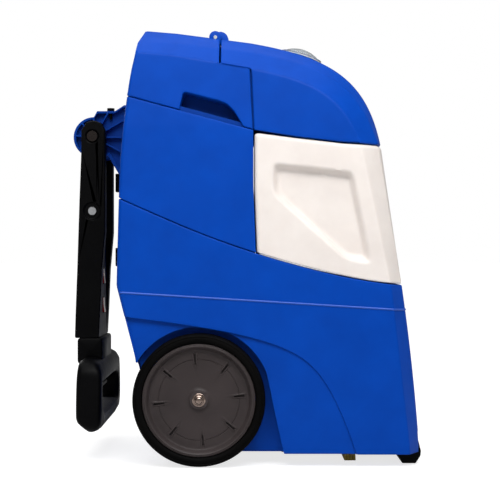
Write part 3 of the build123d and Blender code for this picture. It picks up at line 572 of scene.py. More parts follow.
def tank_surface():
    """The closed recovery tank, with a soft dish pressed into each side."""
    top_z = straight_line([(22.4, 638.4)] + [(x, z - 2.7) for x, z in HOOD_FOOT[1:]])
    rear = straight_line(((22.4, 638.4), (22.4, 534.6), (27.5, 400.0)), swap=True)
    soft, soft_low, steps, count = 7.0, 3.0, 6, 64

    levels = np.arange(335.0, 645.0, 5.0)
    cache = {}

    def table(inset):
        if inset not in cache:
            cache[inset] = np.array([half_ring(z, rear, 8.0, inset) for z in levels])
        return cache[inset]

    def ring_at(v, offset, inset):
        grid = table(round(inset, 4))
        points = []
        for i in range(grid.shape[1]):
            z = 480.0
            for _ in range(8):
                x = float(np.interp(z, levels, grid[:, i, 0]))
                low, high = deck_z(x) + TANK_GAP, top_z(x)
                z = low + (high - low) * v + offset
            y = float(np.interp(z, levels, grid[:, i, 1]))
            if inset == 0.0 and 14 < i < 72:
                y -= dish_depth(x, z)
            points.append(np.array((x, y, z)))
        return points

    halves = []
    for k in range(steps, 0, -1):
        turn = math.pi / 2 * k / steps
        halves.append(ring_at(0.0, soft_low * (1 - math.sin(turn)), soft_low * (1 - math.cos(turn))))
    for k in range(count + 1):
        v = k / count
        halves.append(ring_at(v, soft_low * (1 - v) - soft * v, 0.0))
    for k in range(1, steps + 1):
        turn = math.pi / 2 * k / steps
        halves.append(ring_at(1.0, -soft * (1 - math.sin(turn)), soft * (1 - math.cos(turn))))
    surface = Surface()
    surface.grid([h + [mirror(p) for p in h[-2:0:-1]] for h in halves], closed=True, flip=True)
    for half, flip in ((halves[0], True), (halves[-1], False)):
        cap = [[p + (mirror(p) - p) * (k / 10) for k in range(11)] for p in half]
        surface.grid(cap, flip=flip)
    return surface


def base_skin_surface():
    """The lower shell's outer skin: sides down to the fender line, front and rear."""
    levels = np.arange(16.0, 540.0, 4.0)
    rear = lambda z: rear_x(max(z, 270.0))
    table = np.array([half_ring(z, rear, REAR_BEND, 0.0, 70) for z in levels])
    arch = smooth_line(ARCH_LINE)

    def low_line(x, y):
        if x > 298.5 and y < SHOE_HALF + 1.0:
            return 61.0
        return max(FOOT_Z, arch(x)) if x < 219.0 else FOOT_Z

    half = []
    rows = 36
    for i in range(table.shape[1]):
        xs, ys = table[:, i, 0], table[:, i, 1]

        def solve(line):
            gap = [z - line(x, y) for x, y, z in zip(xs, ys, levels)]
            below = [k for k, d in enumerate(gap[:-1]) if d < 0 <= gap[k + 1]]
            k = below[-1] if below else 0
            share = -gap[k] / (gap[k + 1] - gap[k])
            return float(levels[k] + 4.0 * min(1.0, max(0.0, share)))
        z0, z1 = solve(low_line), solve(lambda x, y: deck_z(x))
        half.append([np.array((np.interp(z, levels, xs), np.interp(z, levels, ys), z))
                     for z in (z0 + (z1 - z0) * k / rows for k in range(rows + 1))])
    grid = [[mirror(p) for p in column] for column in half][::-1] + half[1:]
    surface = Surface()
    surface.grid([list(r) for r in zip(*grid)], flip=True)
    return surface


def fold_surface():
    """The fine raised fold that runs round the lower shell, as a half-round bead."""
    rear = lambda z: rear_x(max(z, 270.0))
    fold = straight_line(((-242.0, 332.7), (309.4, 298.1)))
    line = []
    for i, guess in enumerate(half_ring(315.0, rear, REAR_BEND, 0.0, 40)):
        z = fold(guess[0])
        line.append(half_ring(z, rear, REAR_BEND, 0.0, 40)[i])
    line = [p for p in line if p[0] > rear(330.0) + 2.0]
    rows = []
    for i, p in enumerate(line):
        a, b = line[max(0, i - 1)], line[min(len(line) - 1, i + 1)]
        along = (b - a) / np.linalg.norm(b - a)
        out = np.cross(along, (0.0, 0.0, 1.0))
        out = out / np.linalg.norm(out)
        if np.dot(out, (p[0] - 100.0, p[1] * 3.0, 0.0)) < 0:
            out = -out
        rows.append([p + out * (0.8 * math.sin(turn) - 0.2) + np.array((0, 0, math.cos(turn)))
                     for turn in (math.pi * k / 8 for k in range(9))])
    surface = Surface()
    surface.grid(rows)
    surface.grid([[mirror(p) for p in row] for row in rows], flip=True)
    return surface


def strip(path_a, path_b, count, spans, y_a, y_b):
    """A grid between two side-view paths at two distances from the mid plane."""
    rows = []
    for k in range(count + 1):
        a, b = along_path(path_a, k / count), along_path(path_b, k / count)
        ya, yb = (y(p[0]) if callable(y) else y for y, p in ((y_a, a), (y_b, b)))
        pa, pb = np.array((a[0], ya, a[1])), np.array((b[0], yb, b[1]))
        rows.append([pa + (pb - pa) * (j / spans) for j in range(spans + 1)])
    return rows


def panel_y(x):
    """Distance of the recessed panel from the mid plane: it runs out towards the front."""
    return ramp(x, ((-226.0, 200.0), (-60.0, 203.0), (120.0, 207.0), (216.0, 209.5)))


def wheel_bay_surface(sign):
    """The recessed panel, the round bay wall and its floor on one side."""
    arch = smooth_line(ARCH_LINE)
    fender = [(-226.5, 288.0)] + [(x, arch(x) + 4.0) for x in np.linspace(-222.0, 216.0, 60)]
    fender.append((218.0, 23.5))
    first = math.radians(150.0)
    bay = [(WHEEL_X + WELL_R * math.cos(a), WHEEL_Z + WELL_R * math.sin(a))
           for a in np.linspace(first, math.radians(21.5), 50)]
    bay += [(52.0, 150.0), (62.0, 100.0), (79.0, 23.5)]
    foot = [bay[0], (-159.5, 23.5), (79.0, 23.5)]
    surface = Surface()
    for rows in (strip(fender, bay, 90, 6, panel_y, panel_y), strip(bay, bay, 90, 4, panel_y, BAY_Y),
                 strip(bay, foot, 90, 8, BAY_Y, BAY_Y)):
        surface.side_grid(rows, sign)
    return surface


def underbody_surface():
    """The sloping rear wall between the wheels and the floor with its service opening."""
    surface = Surface()
    for z0, z1, wide, n in ((290.0, 199.0, PANEL_Y, 8), (199.0, FOOT_Z, BAY_Y, 12)):
        rows = []
        for k in range(n + 1):
            z = z0 + (z1 - z0) * k / n
            x = rear_x(z) + 0.6
            rows.append([np.array((x, -wide + 2 * wide * j / 14, z)) for j in range(15)])
        surface.grid(rows)

    def plate(x0, x1, y0, y1):
        nx, ny = max(2, int(abs(x1 - x0) / 20)), max(2, int(abs(y1 - y0) / 20))
        surface.grid([[np.array((x0 + (x1 - x0) * i / nx, y0 + (y1 - y0) * j / ny, FOOT_Z))
                       for j in range(ny + 1)] for i in range(nx + 1)])
    plate(-159.0, -140.0, -BAY_Y, BAY_Y)
    plate(285.0, 298.0, -BAY_Y, BAY_Y)
    for s in (-1, 1):
        a, b = sorted((s * 158.0, s * BAY_Y))
        plate(-140.0, 285.0, a, b)
        a, b = sorted((s * BAY_Y, s * PANEL_Y))
        plate(80.0, 298.0, a, b)
        a, b = sorted((s * PANEL_Y, s * 211.0))
        plate(219.0, 298.0, a, b)
        a, b = sorted((s * (SHOE_HALF + 1.5), s * 205.0))
        plate(298.0, 316.0, a, b)
    return surface


def deck_surface():
    """The deck inside the seam: the rear shell stands on it, the tank slides on two low rails."""
    rows = []
    for x in np.linspace(-232.0, 303.0, 60):
        wide = 206.0 if x < 270 else 206.0 - (x - 270.0) * 0.9
        rail = 2.2 if x > 28.0 else 0.0
        rows.append([np.array((x, -wide + 2 * wide * j / 20, deck_z(x) - 1.2 + rail * (j in (6, 14))))
                     for j in range(21)])
    surface = Surface()
    surface.grid(rows, flip=True)
    return surface


def pocket_surface(sign):
    """The back wall of a carry-grip pocket."""
    top = [(-126.0, 672.0), (-126.0, 722.0), (-40.0, 702.0), (-20.0, 690.0), (8.0, 655.0)]
    low = [(-126.0, 660.0), (8.0, 628.0)]
    surface = Surface()
    end = [[np.array((-126.0, POCKET_Y + 36.0 * j / 4, 722.0 - 62.0 * k / 6)) for j in range(5)]
           for k in range(7)]
    for rows in (strip(top, low, 24, 4, POCKET_Y, POCKET_Y), strip(low, low, 24, 4, POCKET_Y, 198.0), end):
        surface.side_grid(rows, sign)
    return surface


REPLACED = set()


def stand_for(obj, *nodes):
    """Lets a piece stand for its CAD nodes."""
    if nodes:
        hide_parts(*nodes)
        REPLACED.update(nodes)


def finish_shell(name, surface, material, body, *nodes, **walls):
    """Turns a surface into a walled moulding and lets it stand for its CAD nodes."""
    points, faces = shell(surface, **walls)
    obj = make_object(name, points, faces, material, body)
    weigh = obj.modifiers.new("flat_faces_first", "WEIGHTED_NORMAL")
    weigh.keep_sharp = True
    stand_for(obj, *nodes)
    return obj


def joined(*surfaces):
    """Several surfaces as one."""
    both = Surface()
    for part in surfaces:
        base = len(both.points)
        both.points += part.points
        both.faces += [[base + v for v in face] for face in part.faces]
    return both


def outward(points, faces):
    """The same mesh with every face turned to look outwards."""
    mesh = bpy.data.meshes.new("turned")
    mesh.from_pydata([tuple(p) for p in points], [], faces)
    bm = bmesh.new()
    bm.from_mesh(mesh)
    bmesh.ops.recalc_face_normals(bm, faces=bm.faces)
    result = ([np.array(v.co) for v in bm.verts], [[v.index for v in f.verts] for f in bm.faces])
    bm.free()
    bpy.data.meshes.remove(mesh)
    return result


def turned(origin, profile, tilt=0.0, count=64):
    """A surface turned about an axis that tilts forward; the profile is (radius, height)."""
    s, c = math.sin(tilt), math.cos(tilt)
    rows = []
    for k in range(count + 1):
        turn = math.tau * (k % count) / count
        rows.append([np.array((origin[0] + r * math.cos(turn) * c + h * s,
                               origin[1] + r * math.sin(turn),
                               origin[2] - r * math.cos(turn) * s + h * c)) for r, h in profile])
    surface = Surface()
    surface.grid(rows)
    return surface


def plate_surface(outline, y0, y1, edge):
    """A side-view outline as a plate between two distances, with softened edges."""
    middle = np.mean(np.array(outline), axis=0)
    rows = []
    for y, inset in ((y0, None), (y0, edge), (y0 + 0.3 * edge, 0.3 * edge), (y0 + edge, 0.0),
                     (y1 - edge, 0.0), (y1 - 0.3 * edge, 0.3 * edge), (y1, edge), (y1, None)):
        row = []
        for p in outline:
            away = np.array(p) - middle
            share = 0.0 if inset is None else 1.0 - inset / np.linalg.norm(away)
            q = middle + away * share
            row.append(np.array((q[0], y, q[1])))
        rows.append(row + row[:1])
    surface = Surface()
    surface.grid(rows)
    return surface


def bake(obj):
    """Turns a piece with its modifiers into a plain mesh."""
    state = bpy.context.evaluated_depsgraph_get()
    mesh = bpy.data.meshes.new_from_object(obj.evaluated_get(state))
    obj.modifiers.clear()
    obj.data = mesh


def carve(obj, *cutters):
    """Cuts closed surfaces out of a piece."""
    weighted = len(obj.modifiers) > 0 and obj.modifiers[-1].type == "WEIGHTED_NORMAL"
    if weighted:
        obj.modifiers.remove(obj.modifiers[-1])
    for cutter in cutters:
        points, faces = outward(*cutter.welded())
        mesh = mesh_of("cutter", points, faces)
        tool = placed("cutter", mesh)
        cut = obj.modifiers.new("cut", "BOOLEAN")
        cut.object, cut.operation, cut.solver = tool, "DIFFERENCE", "EXACT"
        bake(obj)
        bpy.data.objects.remove(tool)
        bpy.data.meshes.remove(mesh)
    if weighted:
        obj.modifiers.new("flat_faces_first", "WEIGHTED_NORMAL").keep_sharp = True


def box_surface(x0, x1, y0, y1, z0, z1):
    return plate_surface([(x0, z0), (x1, z0), (x1, z1), (x0, z1)], y0, y1, 0.01)


# ---- filler cup, hinge ears and window frame ------------------------------------------------
FILL_X, CUP_R, CUP_FLOOR, CUP_WALL = -110.0, 41.0, 811.8, 3.0
DOME_AT, DOME_TILT, DUCT_R = (119.4, 0.0, 812.6), math.radians(16.95), 40.0


def cup_surface():
    """The filler's round cup, its wall running up into the skin above it."""
    top = 900.0
    r = CUP_R
    profile = [(0.001, CUP_FLOOR), (r - 5, CUP_FLOOR), (r - 1.5, CUP_FLOOR + 1.5), (r, CUP_FLOOR + 5),
               (r, top), (r + CUP_WALL, top), (r + CUP_WALL, CUP_FLOOR), (r, CUP_FLOOR - CUP_WALL),
               (0.001, CUP_FLOOR - CUP_WALL)]
    surface = turned((FILL_X, 0.0, 0.0), profile)
    for p in surface.points:
        if p[2] >= top:
            share = abs(p[1]) / CROWN_Y
            skin = top_point("middle", p[0])[2] * (1 - share) + top_point("crown", p[0])[2] * share
            p[2] = skin - WALL / 2
    return surface


def ear_surface(sign):
    """A hinge ear: a round eye on a short foot."""
    outline = [(-54.2 + 12.0 * math.cos(a), 831.4 + 12.0 * math.sin(a))
               for a in np.linspace(math.radians(-25), math.radians(205), 24)]
    outline += [(-67.0, 815.0), (-38.0, 815.0)]
    return plate_surface(outline, *sorted((sign * 138.0, sign * 146.0)), 1.2)


def knuckle_surface(sign):
    """A hood knuckle: an eye round the hinge pin on a rounded foot that lands on the hood."""
    outline = [(-54.2 + 11.5 * math.cos(a), 831.4 + 11.5 * math.sin(a))
               for a in np.linspace(math.radians(80), math.radians(290), 20)]
    outline += [(-42.0, 822.0), (-27.0, 820.0), (-28.5, 830.0), (-31.5, 837.0), (-36.5, 841.5),
                (-43.0, 843.6)]
    return plate_surface(outline, *sorted((sign * 126.0, sign * 137.4)), 1.2)


def bezel_surface():
    """The raised frame round the window: it lies on the hood's crowned skin."""
    rows = []
    for k in range(41):
        t = 0.07 + (0.735 - 0.07) * k / 40
        m, w = hood_point("middle", t), hood_point("crown", t)
        ahead, behind = hood_point("middle", t + 0.01), hood_point("middle", t - 0.01)
        along = (ahead - behind) / np.linalg.norm(ahead - behind)
        up = np.array((-along[2], 0.0, along[0]))
        row = []
        for j in range(21):
            y = -80.0 + 8.0 * j
            share = abs(y) / CROWN_Y
            p = m * (1 - share) + w * share + up * 3.6
            row.append(np.array((p[0], y, p[2])))
        rows.append(row)
    surface = Surface()
    surface.grid(rows, flip=True)
    return surface


# ---- brush tufts ----------------------------------------------------------------------------
def tuft_tree(material):
    """Geometry Nodes: a grid of tapering tufts, each leaning a little its own way."""
    tree = bpy.data.node_groups.new("brush_tufts", "GeometryNodeTree")
    sizes = {"Centre": "NodeSocketVector", "Across": "NodeSocketFloat", "Along": "NodeSocketFloat",
             "Rows": "NodeSocketInt", "Tufts per row": "NodeSocketInt", "Length": "NodeSocketFloat",
             "Root radius": "NodeSocketFloat", "Tip radius": "NodeSocketFloat",
             "Lean": "NodeSocketVector", "Seed": "NodeSocketInt"}
    ids = {}
    for name, kind in sizes.items():
        ids[name] = tree.interface.new_socket(name=name, in_out="INPUT", socket_type=kind).identifier
    tree.interface.new_socket(name="Geometry", in_out="OUTPUT", socket_type="NodeSocketGeometry")
    given = node(tree, "NodeGroupInput").outputs
    grid = node(tree, "GeometryNodeMeshGrid", {"Size X": given["Across"], "Size Y": given["Along"],
                                               "Vertices X": given["Rows"],
                                               "Vertices Y": given["Tufts per row"]})
    placed = node(tree, "GeometryNodeTransform", {"Geometry": grid.outputs["Mesh"],
                                                  "Translation": given["Centre"]})
    tuft = node(tree, "GeometryNodeMeshCone", {"Vertices": 9, "Radius Bottom": given["Tip radius"],
                                               "Radius Top": given["Root radius"],
                                               "Depth": given["Length"]})
    least = node(tree, "ShaderNodeVectorMath", {0: given["Lean"], "Scale": -1.0}, operation="SCALE")
    lean = node(tree, "FunctionNodeRandomValue", {0: least.outputs["Vector"], 1: given["Lean"],
                                                  "Seed": given["Seed"]}, data_type="FLOAT_VECTOR")
    stood = node(tree, "GeometryNodeInstanceOnPoints",
                 {"Points": placed.outputs["Geometry"], "Instance": tuft.outputs["Mesh"],
                  "Rotation": lean.outputs[0]})
    real = node(tree, "GeometryNodeRealizeInstances", {"Geometry": stood.outputs["Instances"]})
    done = node(tree, "GeometryNodeSetMaterial", {"Geometry": real.outputs["Geometry"],
                                                  "Material": material})
    out = node(tree, "NodeGroupOutput")
    tree.links.new(done.outputs["Geometry"], out.inputs["Geometry"])
    return tree, ids


def brush_tufts(material):
    """The brush's tufts, four rows of them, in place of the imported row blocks."""
    low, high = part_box("brush_bristles")
    tree, ids = tuft_tree(material)
    obj = placed("brush_tufts", bpy.data.meshes.new("brush_tufts"))
    grow = obj.modifiers.new("tufts", "NODES")
    grow.node_group = tree
    tip, root = 3.1 * MM, 2.2 * MM
    values = {"Centre": ((low[0] + high[0]) / 2, (low[1] + high[1]) / 2, low[2] + 0.2 * MM),
              "Across": high[0] - low[0] - 2 * tip, "Along": high[1] - low[1] - 2 * tip,
              "Rows": 4, "Tufts per row": 46, "Length": high[2] - low[2] - 0.2 * MM,
              "Root radius": root, "Tip radius": tip, "Lean": (0.03, 0.03, 3.0), "Seed": 7}
    for name, value in values.items():
        grow[ids[name]] = value
    bake(obj)
    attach(obj, "brush")
    stand_for(obj, "brush_bristles")


# ---- wheels -------------------------------------------------------------------------------
SLOT_CIRCLE_R = 77.5
SLOT_TURN, SLOT_LONG, SLOT_WIDE = 5.5, 20.0, 4.2


def wheel_point(radius, turn, y):
    """A point at a radius and an angle about the wheel's axle."""
    return np.array((WHEEL_X + radius * math.cos(turn), y, WHEEL_Z + radius * math.sin(turn)))


def spun(surface, profile, sign, count=128):
    """Sweeps a closed (radius, y) profile about the axle; sign picks the side."""
    rows = []
    for k in range(count):
        turn = math.tau * k / count
        rows.append([wheel_point(r, turn, sign * y) for r, y in profile])
    rows.append(rows[0])
    rows = [row + [row[0]] for row in rows]
    surface.grid(rows, flip=sign < 0)


def eased(profile, radius, steps=3):
    """A closed profile with each corner softened."""
    out = []
    pts = [np.array(p, float) for p in profile]
    for i, here in enumerate(pts):
        a, b = pts[i - 1] - here, pts[(i + 1) % len(pts)] - here
        la, lb = np.linalg.norm(a), np.linalg.norm(b)
        cut = min(radius, 0.42 * la, 0.42 * lb)
        start, end = here + a / la * cut, here + b / lb * cut
        out += [tuple((1 - t) ** 2 * start + 2 * t * (1 - t) * here + t * t * end)
                for t in (k / steps for k in range(steps + 1))]
    return out


def tyre_surface(sign):
    """A solid rubber tyre: soft shoulders, two sidewall beads and a ribbed tread."""
    profile = [(108.7, 190.0), (112.0, 188.4), (116.5, 187.4), (121.0, 187.9), (125.2, 191.0),
               (126.6, 195.0), (127.0, 199.0), (126.2, 200.0), (126.2, 202.0), (127.0, 203.0),
               (127.0, 209.0), (126.2, 210.0), (126.2, 212.0), (127.0, 213.0), (126.8, 217.0),
               (125.4, 221.0), (122.6, 223.6), (121.4, 223.9), (120.6, 223.2), (119.4, 223.4),
               (117.0, 224.7), (112.5, 223.9), (109.6, 222.0), (108.7, 219.5)]
    surface = Surface()
    spun(surface, profile, sign, 160)
    return surface


def hub_surface(sign):
    """The moulded wheel centre: rim bead, dished disc, scribed circle, slots and boss."""
    radii = [16.2, 17.4, 18.4, 20.5, 23.5, 26.0, 40.0, 55.0, 66.0, 67.4, 67.6, 70.0, 74.0, 76.4,
             76.9, 77.5, 78.1, 78.6, 81.0, 85.0, 87.4, 87.6, 89.0, 92.0, 94.5, 96.2, 97.4, 99.5,
             101.5, 103.2, 104.6, 106.0, 107.4, 108.4]
    level = straight_line(((16.2, 214.6), (17.4, 214.4), (18.4, 213.4), (20.5, 211.6), (23.5, 210.2),
                           (26.0, 209.9), (66.0, 208.9), (92.0, 208.6), (94.5, 209.0), (96.2, 210.4),
                           (97.4, 213.6), (99.5, 218.2), (101.5, 220.6), (103.2, 221.4), (104.6, 220.4),
                           (106.0, 220.7), (107.4, 219.8), (108.4, 217.5)))
    turns = []
    for k in range(8):
        middle = math.radians(SLOT_TURN + 45.0 * k)
        half = SLOT_WIDE / 2 / SLOT_CIRCLE_R
        lip = 1.3 / SLOT_CIRCLE_R
        edges = [-half - 2.2 * lip, -half - lip, -half, -half + 0.004, half - 0.004, half, half + lip,
                 half + 2.2 * lip]
        turns += [middle + e for e in edges]
        gap = math.radians(45.0) - 2 * (half + 2.2 * lip)
        turns += [middle + half + 2.2 * lip + gap * j / 12 for j in range(1, 12)]
    rows = []
    for turn in turns + turns[:1]:
        off = (math.degrees(turn) - SLOT_TURN + 22.5) % 45.0 - 22.5
        across = abs(math.radians(off)) * SLOT_CIRCLE_R
        row = []
        for r in radii:
            y = level(r)
            along = abs(r - SLOT_CIRCLE_R)
            if along < SLOT_LONG / 2 and across < SLOT_WIDE / 2 - 0.1:
                y -= 6.0
            elif along < SLOT_LONG / 2 + 2.2 and SLOT_WIDE / 2 - 0.1 <= across < SLOT_WIDE / 2 + 2.0:
                y += 1.1
            elif along <= 0.7:
                y -= 1.0
            row.append(wheel_point(r, turn, sign * y))
        back = [wheel_point(r, turn, sign * y) for r, y in ((108.5, 190.0), (97.5, 190.0),
                                                          (97.0, 200.5), (20.5, 201.0),
                                                          (20.0, 190.0), (12.1, 190.0), (12.1, 213.6))]
        rows.append(row + back + row[:1])
    surface = Surface()
    surface.grid(rows, flip=sign < 0)
    return surface


def cap_nut_surface(sign):
    """A plated washer and domed cap nut on the axle's end."""
    profile = [(0.001, 214.0), (12.2, 214.0), (12.8, 214.6), (12.8, 215.6), (12.2, 216.1),
               (10.0, 216.2), (9.8, 216.8), (9.8, 219.4), (8.8, 220.7), (7.4, 221.1),
               (7.0, 222.2), (5.6, 223.7), (3.6, 224.6), (0.001, 224.9)]
    surface = Surface()
    spun(surface, profile, sign, 48)
    return surface


# ---- handle -------------------------------------------------------------------------------
LOOP_HALF, LOOP_LOW, LOOP_HIGH = 181.0, 56.0, 198.0
OPEN_HALF, OPEN_LOW, OPEN_HIGH = 144.0, 92.0, 150.0
LOOP_BACK = ((56.0, -303.0), (76.0, -322.6), (86.0, -325.4), (198.0, -322.0))
LOOP_FRONT = ((56.0, -292.0), (61.0, -281.8), (73.0, -275.6), (95.0, -274.5), (176.0, -274.5),
              (190.0, -280.0), (198.0, -288.0))

GRIP_X = -300.0
loop_back, loop_front = straight_line(LOOP_BACK), straight_line(LOOP_FRONT)


def soft_section():
    """A square section with very round corners, as 28 points from -1 to 1 each way."""
    turns = [math.tau * k / 28 for k in range(28)]
    return [tuple(math.copysign(abs(v) ** 0.45, v) for v in (math.cos(t), math.sin(t)))
            for t in turns]


def loop_x(z, deep):
    """The x of the loop's section at a height, deep from -1 at its back to 1 at its front."""
    x0, x1 = loop_back(z), loop_front(z)
    return (x0 + x1) / 2 + (x1 - x0) / 2 * deep


def rounded_rectangle(half, low, high, radius, count):
    """A closed rounded rectangle in the (y, z) plane, divided evenly."""
    corners = [(half, low), (half, high), (-half, high), (-half, low)]
    line = eased(corners, radius, 8)
    line.append(line[0])
    return [along_path(line, k / count) for k in range(count)]


def loop_surface():
    """The hand loop: one rounded section that runs all the way round the opening."""
    count = 160
    section = soft_section()
    outer = rounded_rectangle(LOOP_HALF, LOOP_LOW, LOOP_HIGH, 40.0, count)
    inner = rounded_rectangle(OPEN_HALF, OPEN_LOW, OPEN_HIGH, 30.0, count)
    rows = []
    for o, i in zip(outer, inner):
        row = []
        for across, deep in section:
            yz = o + (i - o) * (0.5 - 0.5 * across)
            row.append(np.array((loop_x(yz[1], deep), *yz)))
        rows.append(row + row[:1])
    surface = Surface()
    surface.grid(rows + rows[:1])
    neck = [(-334.0, 184.0), (-334.0, 236.0), (-284.0, 236.0), (-284.0, 184.0)]
    ring = eased(neck, 7.0, 4)
    span = [(-81.0, 0.90), (-80.2, 0.96), (-78.0, 1.0), (0.0, 1.0), (78.0, 1.0), (80.2, 0.96),
            (81.0, 0.90)]
    cx, cz = -309.0, 210.0
    block = [[np.array((cx + (x - cx) * f, y, cz + (z - cz) * f)) for x, z in ring + ring[:1]]
             for y, f in span]
    ends = [[np.array((cx, y, cz))] * len(block[0]) for y in (-81.0, 81.0)]
    surface.grid(ends[:1] + block + ends[1:])
    return surface


def sleeve_surface():
    """The ribbed grip sleeve round the hand bar."""
    middle = (LOOP_LOW + OPEN_LOW) / 2
    stops = [(-124.0, -4.0), (-124.0, 0.0), (-123.4, 0.9)]
    for k in range(40):
        y = -118.0 + 236.0 * k / 40
        stops += [(y + 0.6, 0.9), (y + 1.5, 0.4), (y + 3.0, 0.4), (y + 3.9, 0.9)]
    stops += [(123.4, 0.9), (124.0, 0.0), (124.0, -4.0)]
    rows = []
    for y, proud in stops:
        row = []
        for across, deep in soft_section():
            z = middle - (middle - LOOP_LOW) * across
            x = loop_x(z, deep)
            away = np.array((x - GRIP_X, 0.0, z - middle))
            away = away / np.linalg.norm(away)
            row.append(np.array((x, y, z)) + away * proud)
        rows.append(row + row[:1])
    surface = Surface()
    surface.grid(rows)
    for y, row in ((stops[0][0], rows[0]), (stops[-1][0], rows[-1])):
        surface.grid([[np.array((GRIP_X, y, middle))] * len(row), row])
    return surface


def solid_piece(name, surface, material, body, *nodes, angle=40.0):
    """A closed surface as a finished piece that stands for its CAD nodes."""
    points, faces = outward(*surface.welded())
    obj = make_object(name, points, faces, material, body, angle)
    stand_for(obj, *nodes)
    return obj


# ---- materials ----------------------------------------------------------------------------
def paint(code):
    """An sRGB hex colour as linear red, green, blue and alpha."""
    values = [int(code[i:i + 2], 16) / 255 for i in (1, 3, 5)]
    return [v / 12.92 if v <= 0.04045 else ((v + 0.055) / 1.055) ** 2.4 for v in values] + [1.0]


def node(tree, kind, sockets=None, **settings):
    """Adds a node, sets its fields, and gives each named socket a value or a link."""
    made = tree.nodes.new(kind)
    for key, value in settings.items():
        setattr(made, key, value)
    for key, value in (sockets or {}).items():
        if isinstance(value, bpy.types.NodeSocket):
            tree.links.new(value, made.inputs[key])
        else:
            made.inputs[key].default_value = value
    return made


def start_material(name, **shader):
    """A material with a Principled shader, its object coordinates in millimetres."""
    made = bpy.data.materials.new(name)
    made.use_nodes = True
    tree = made.node_tree
    tree.nodes.clear()
    bsdf = node(tree, "ShaderNodeBsdfPrincipled",
                {key.replace("_", " "): value for key, value in shader.items()})
    out = node(tree, "ShaderNodeOutputMaterial")
    tree.links.new(bsdf.outputs["BSDF"], out.inputs["Surface"])
    where = node(tree, "ShaderNodeTexCoord").outputs["Object"]
    return made, tree, bsdf, where


def noise(tree, where, size_mm, detail=3.0, rough=0.55):
    """A cloudy pattern whose blotches are size_mm across."""
    return node(tree, "ShaderNodeTexNoise", {"Vector": where, "Scale": 1000.0 / size_mm,
                                             "Detail": detail, "Roughness": rough}).outputs["Fac"]


def between(tree, factor, low, high, lo=0.3, hi=0.7):
    """A number that runs from low to high as a pattern runs from lo to hi."""
    return node(tree, "ShaderNodeMapRange", {"Value": factor, "From Min": lo, "From Max": hi,
                                             "To Min": low, "To Max": high}).outputs["Result"]


def tint(tree, factor, first, second):
    """A colour that runs from one hex colour to another."""
    mixed = node(tree, "ShaderNodeMix", {"Factor": factor}, data_type="RGBA")
    mixed.inputs[6].default_value = paint(first)
    mixed.inputs[7].default_value = paint(second)
    return mixed.outputs[2]


# Sizes of what every moulding shows: blotches of colour, patches of gloss, sink waves.
CLOUD_MM, GLOSS_MM, WAVE_MM, WAVE_DEEP_MM = 60.0, 25.0, 90.0, 1.2


def moulded(name, first, second, rough, grain_mm, height_mm, wear=None, **shader):
    """A moulded polymer: slight cloudiness of colour, a fine moulded grain and uneven gloss.
    The real grain is finer than grain_mm and would not show, so it is drawn this coarse."""
    made, tree, bsdf, where = start_material(name, **shader)
    colour = tint(tree, between(tree, noise(tree, where, CLOUD_MM), 0.0, 1.0), first, second)
    gloss = between(tree, noise(tree, where, GLOSS_MM, 4.0), rough - 0.05, rough + 0.05)
    fine = noise(tree, where, grain_mm, 2.0)
    wave = noise(tree, where, WAVE_MM, 1.0)
    relief = node(tree, "ShaderNodeBump", {"Height": fine, "Distance": height_mm * MM,
                                           "Strength": 0.6})
    broad = node(tree, "ShaderNodeBump", {"Height": wave, "Distance": WAVE_DEEP_MM * MM, "Strength": 0.35,
                                          "Normal": relief.outputs["Normal"]})
    if wear:
        edge = node(tree, "ShaderNodeNewGeometry").outputs["Pointiness"]
        rub = between(tree, edge, 0.0, 0.5, 0.53, 0.60)
        mixed = node(tree, "ShaderNodeMix", {"Factor": rub}, data_type="RGBA")
        tree.links.new(colour, mixed.inputs[6])
        mixed.inputs[7].default_value = paint(wear)
        colour = mixed.outputs[2]
    tree.links.new(colour, bsdf.inputs["Base Color"])
    tree.links.new(gloss, bsdf.inputs["Roughness"])
    tree.links.new(broad.outputs["Normal"], bsdf.inputs["Normal"])
    return made


def metal(name, first, second, rough, grain_mm, along=None):
    """A bare or plated metal with fine tooling marks, run along one axis if given. The marks
    are drawn coarser than real ones, so that they show."""
    made, tree, bsdf, where = start_material(name, Metallic=1.0)
    if along:
        where = node(tree, "ShaderNodeMapping", {"Vector": where, "Scale": along}).outputs["Vector"]
    marks = noise(tree, where, grain_mm, 4.0)
    tree.links.new(tint(tree, between(tree, marks, 0.0, 1.0), first, second),
                   bsdf.inputs["Base Color"])
    tree.links.new(between(tree, marks, rough - 0.06, rough + 0.08), bsdf.inputs["Roughness"])
    bump = node(tree, "ShaderNodeBump", {"Height": marks, "Distance": 0.02 * MM, "Strength": 0.4})
    tree.links.new(bump.outputs["Normal"], bsdf.inputs["Normal"])
    return made


# Rotationally moulded polyethylene, cobalt blue: an even satin with a faint orange-peel skin
# and slow waviness, so that highlights are broad and a little soft.
BLUE = moulded("rotomoulded_polyethylene_blue", "#0044ae", "#003fa4", 0.42, 1.6, 0.05,
               Specular_IOR_Level=0.08)
# The same polyethylene along the raised fold, drawn paler: a painted highlight along the fold's edge.
BLUE_FOLD_PAINTED_HIGHLIGHT = moulded("polyethylene_blue_painted_highlight", "#1f55c0", "#1a4fb8", 0.35, 1.6, 0.03)
# The same polyethylene, a shade darker and flatter, for the recesses, pockets, seam lips, filler cup and
# handle brackets: the darker colour is painted shade where shade falls in them.
BLUE_PAINTED_SHADE = moulded("polyethylene_blue_painted_shade", "#003a94", "#00348a", 0.52, 1.2, 0.06,
                      Specular_IOR_Level=0.08)
# Blown high-density polyethylene, natural white: milky, light passes a short way into it.
TANK_WHITE = moulded("blown_polyethylene_white", "#eee6e0", "#e6ddd7", 0.42, 2.2, 0.04,
                     Subsurface_Weight=0.08, Subsurface_Scale=6.0 * MM,
                     Subsurface_Radius=(1.0, 0.85, 0.7))
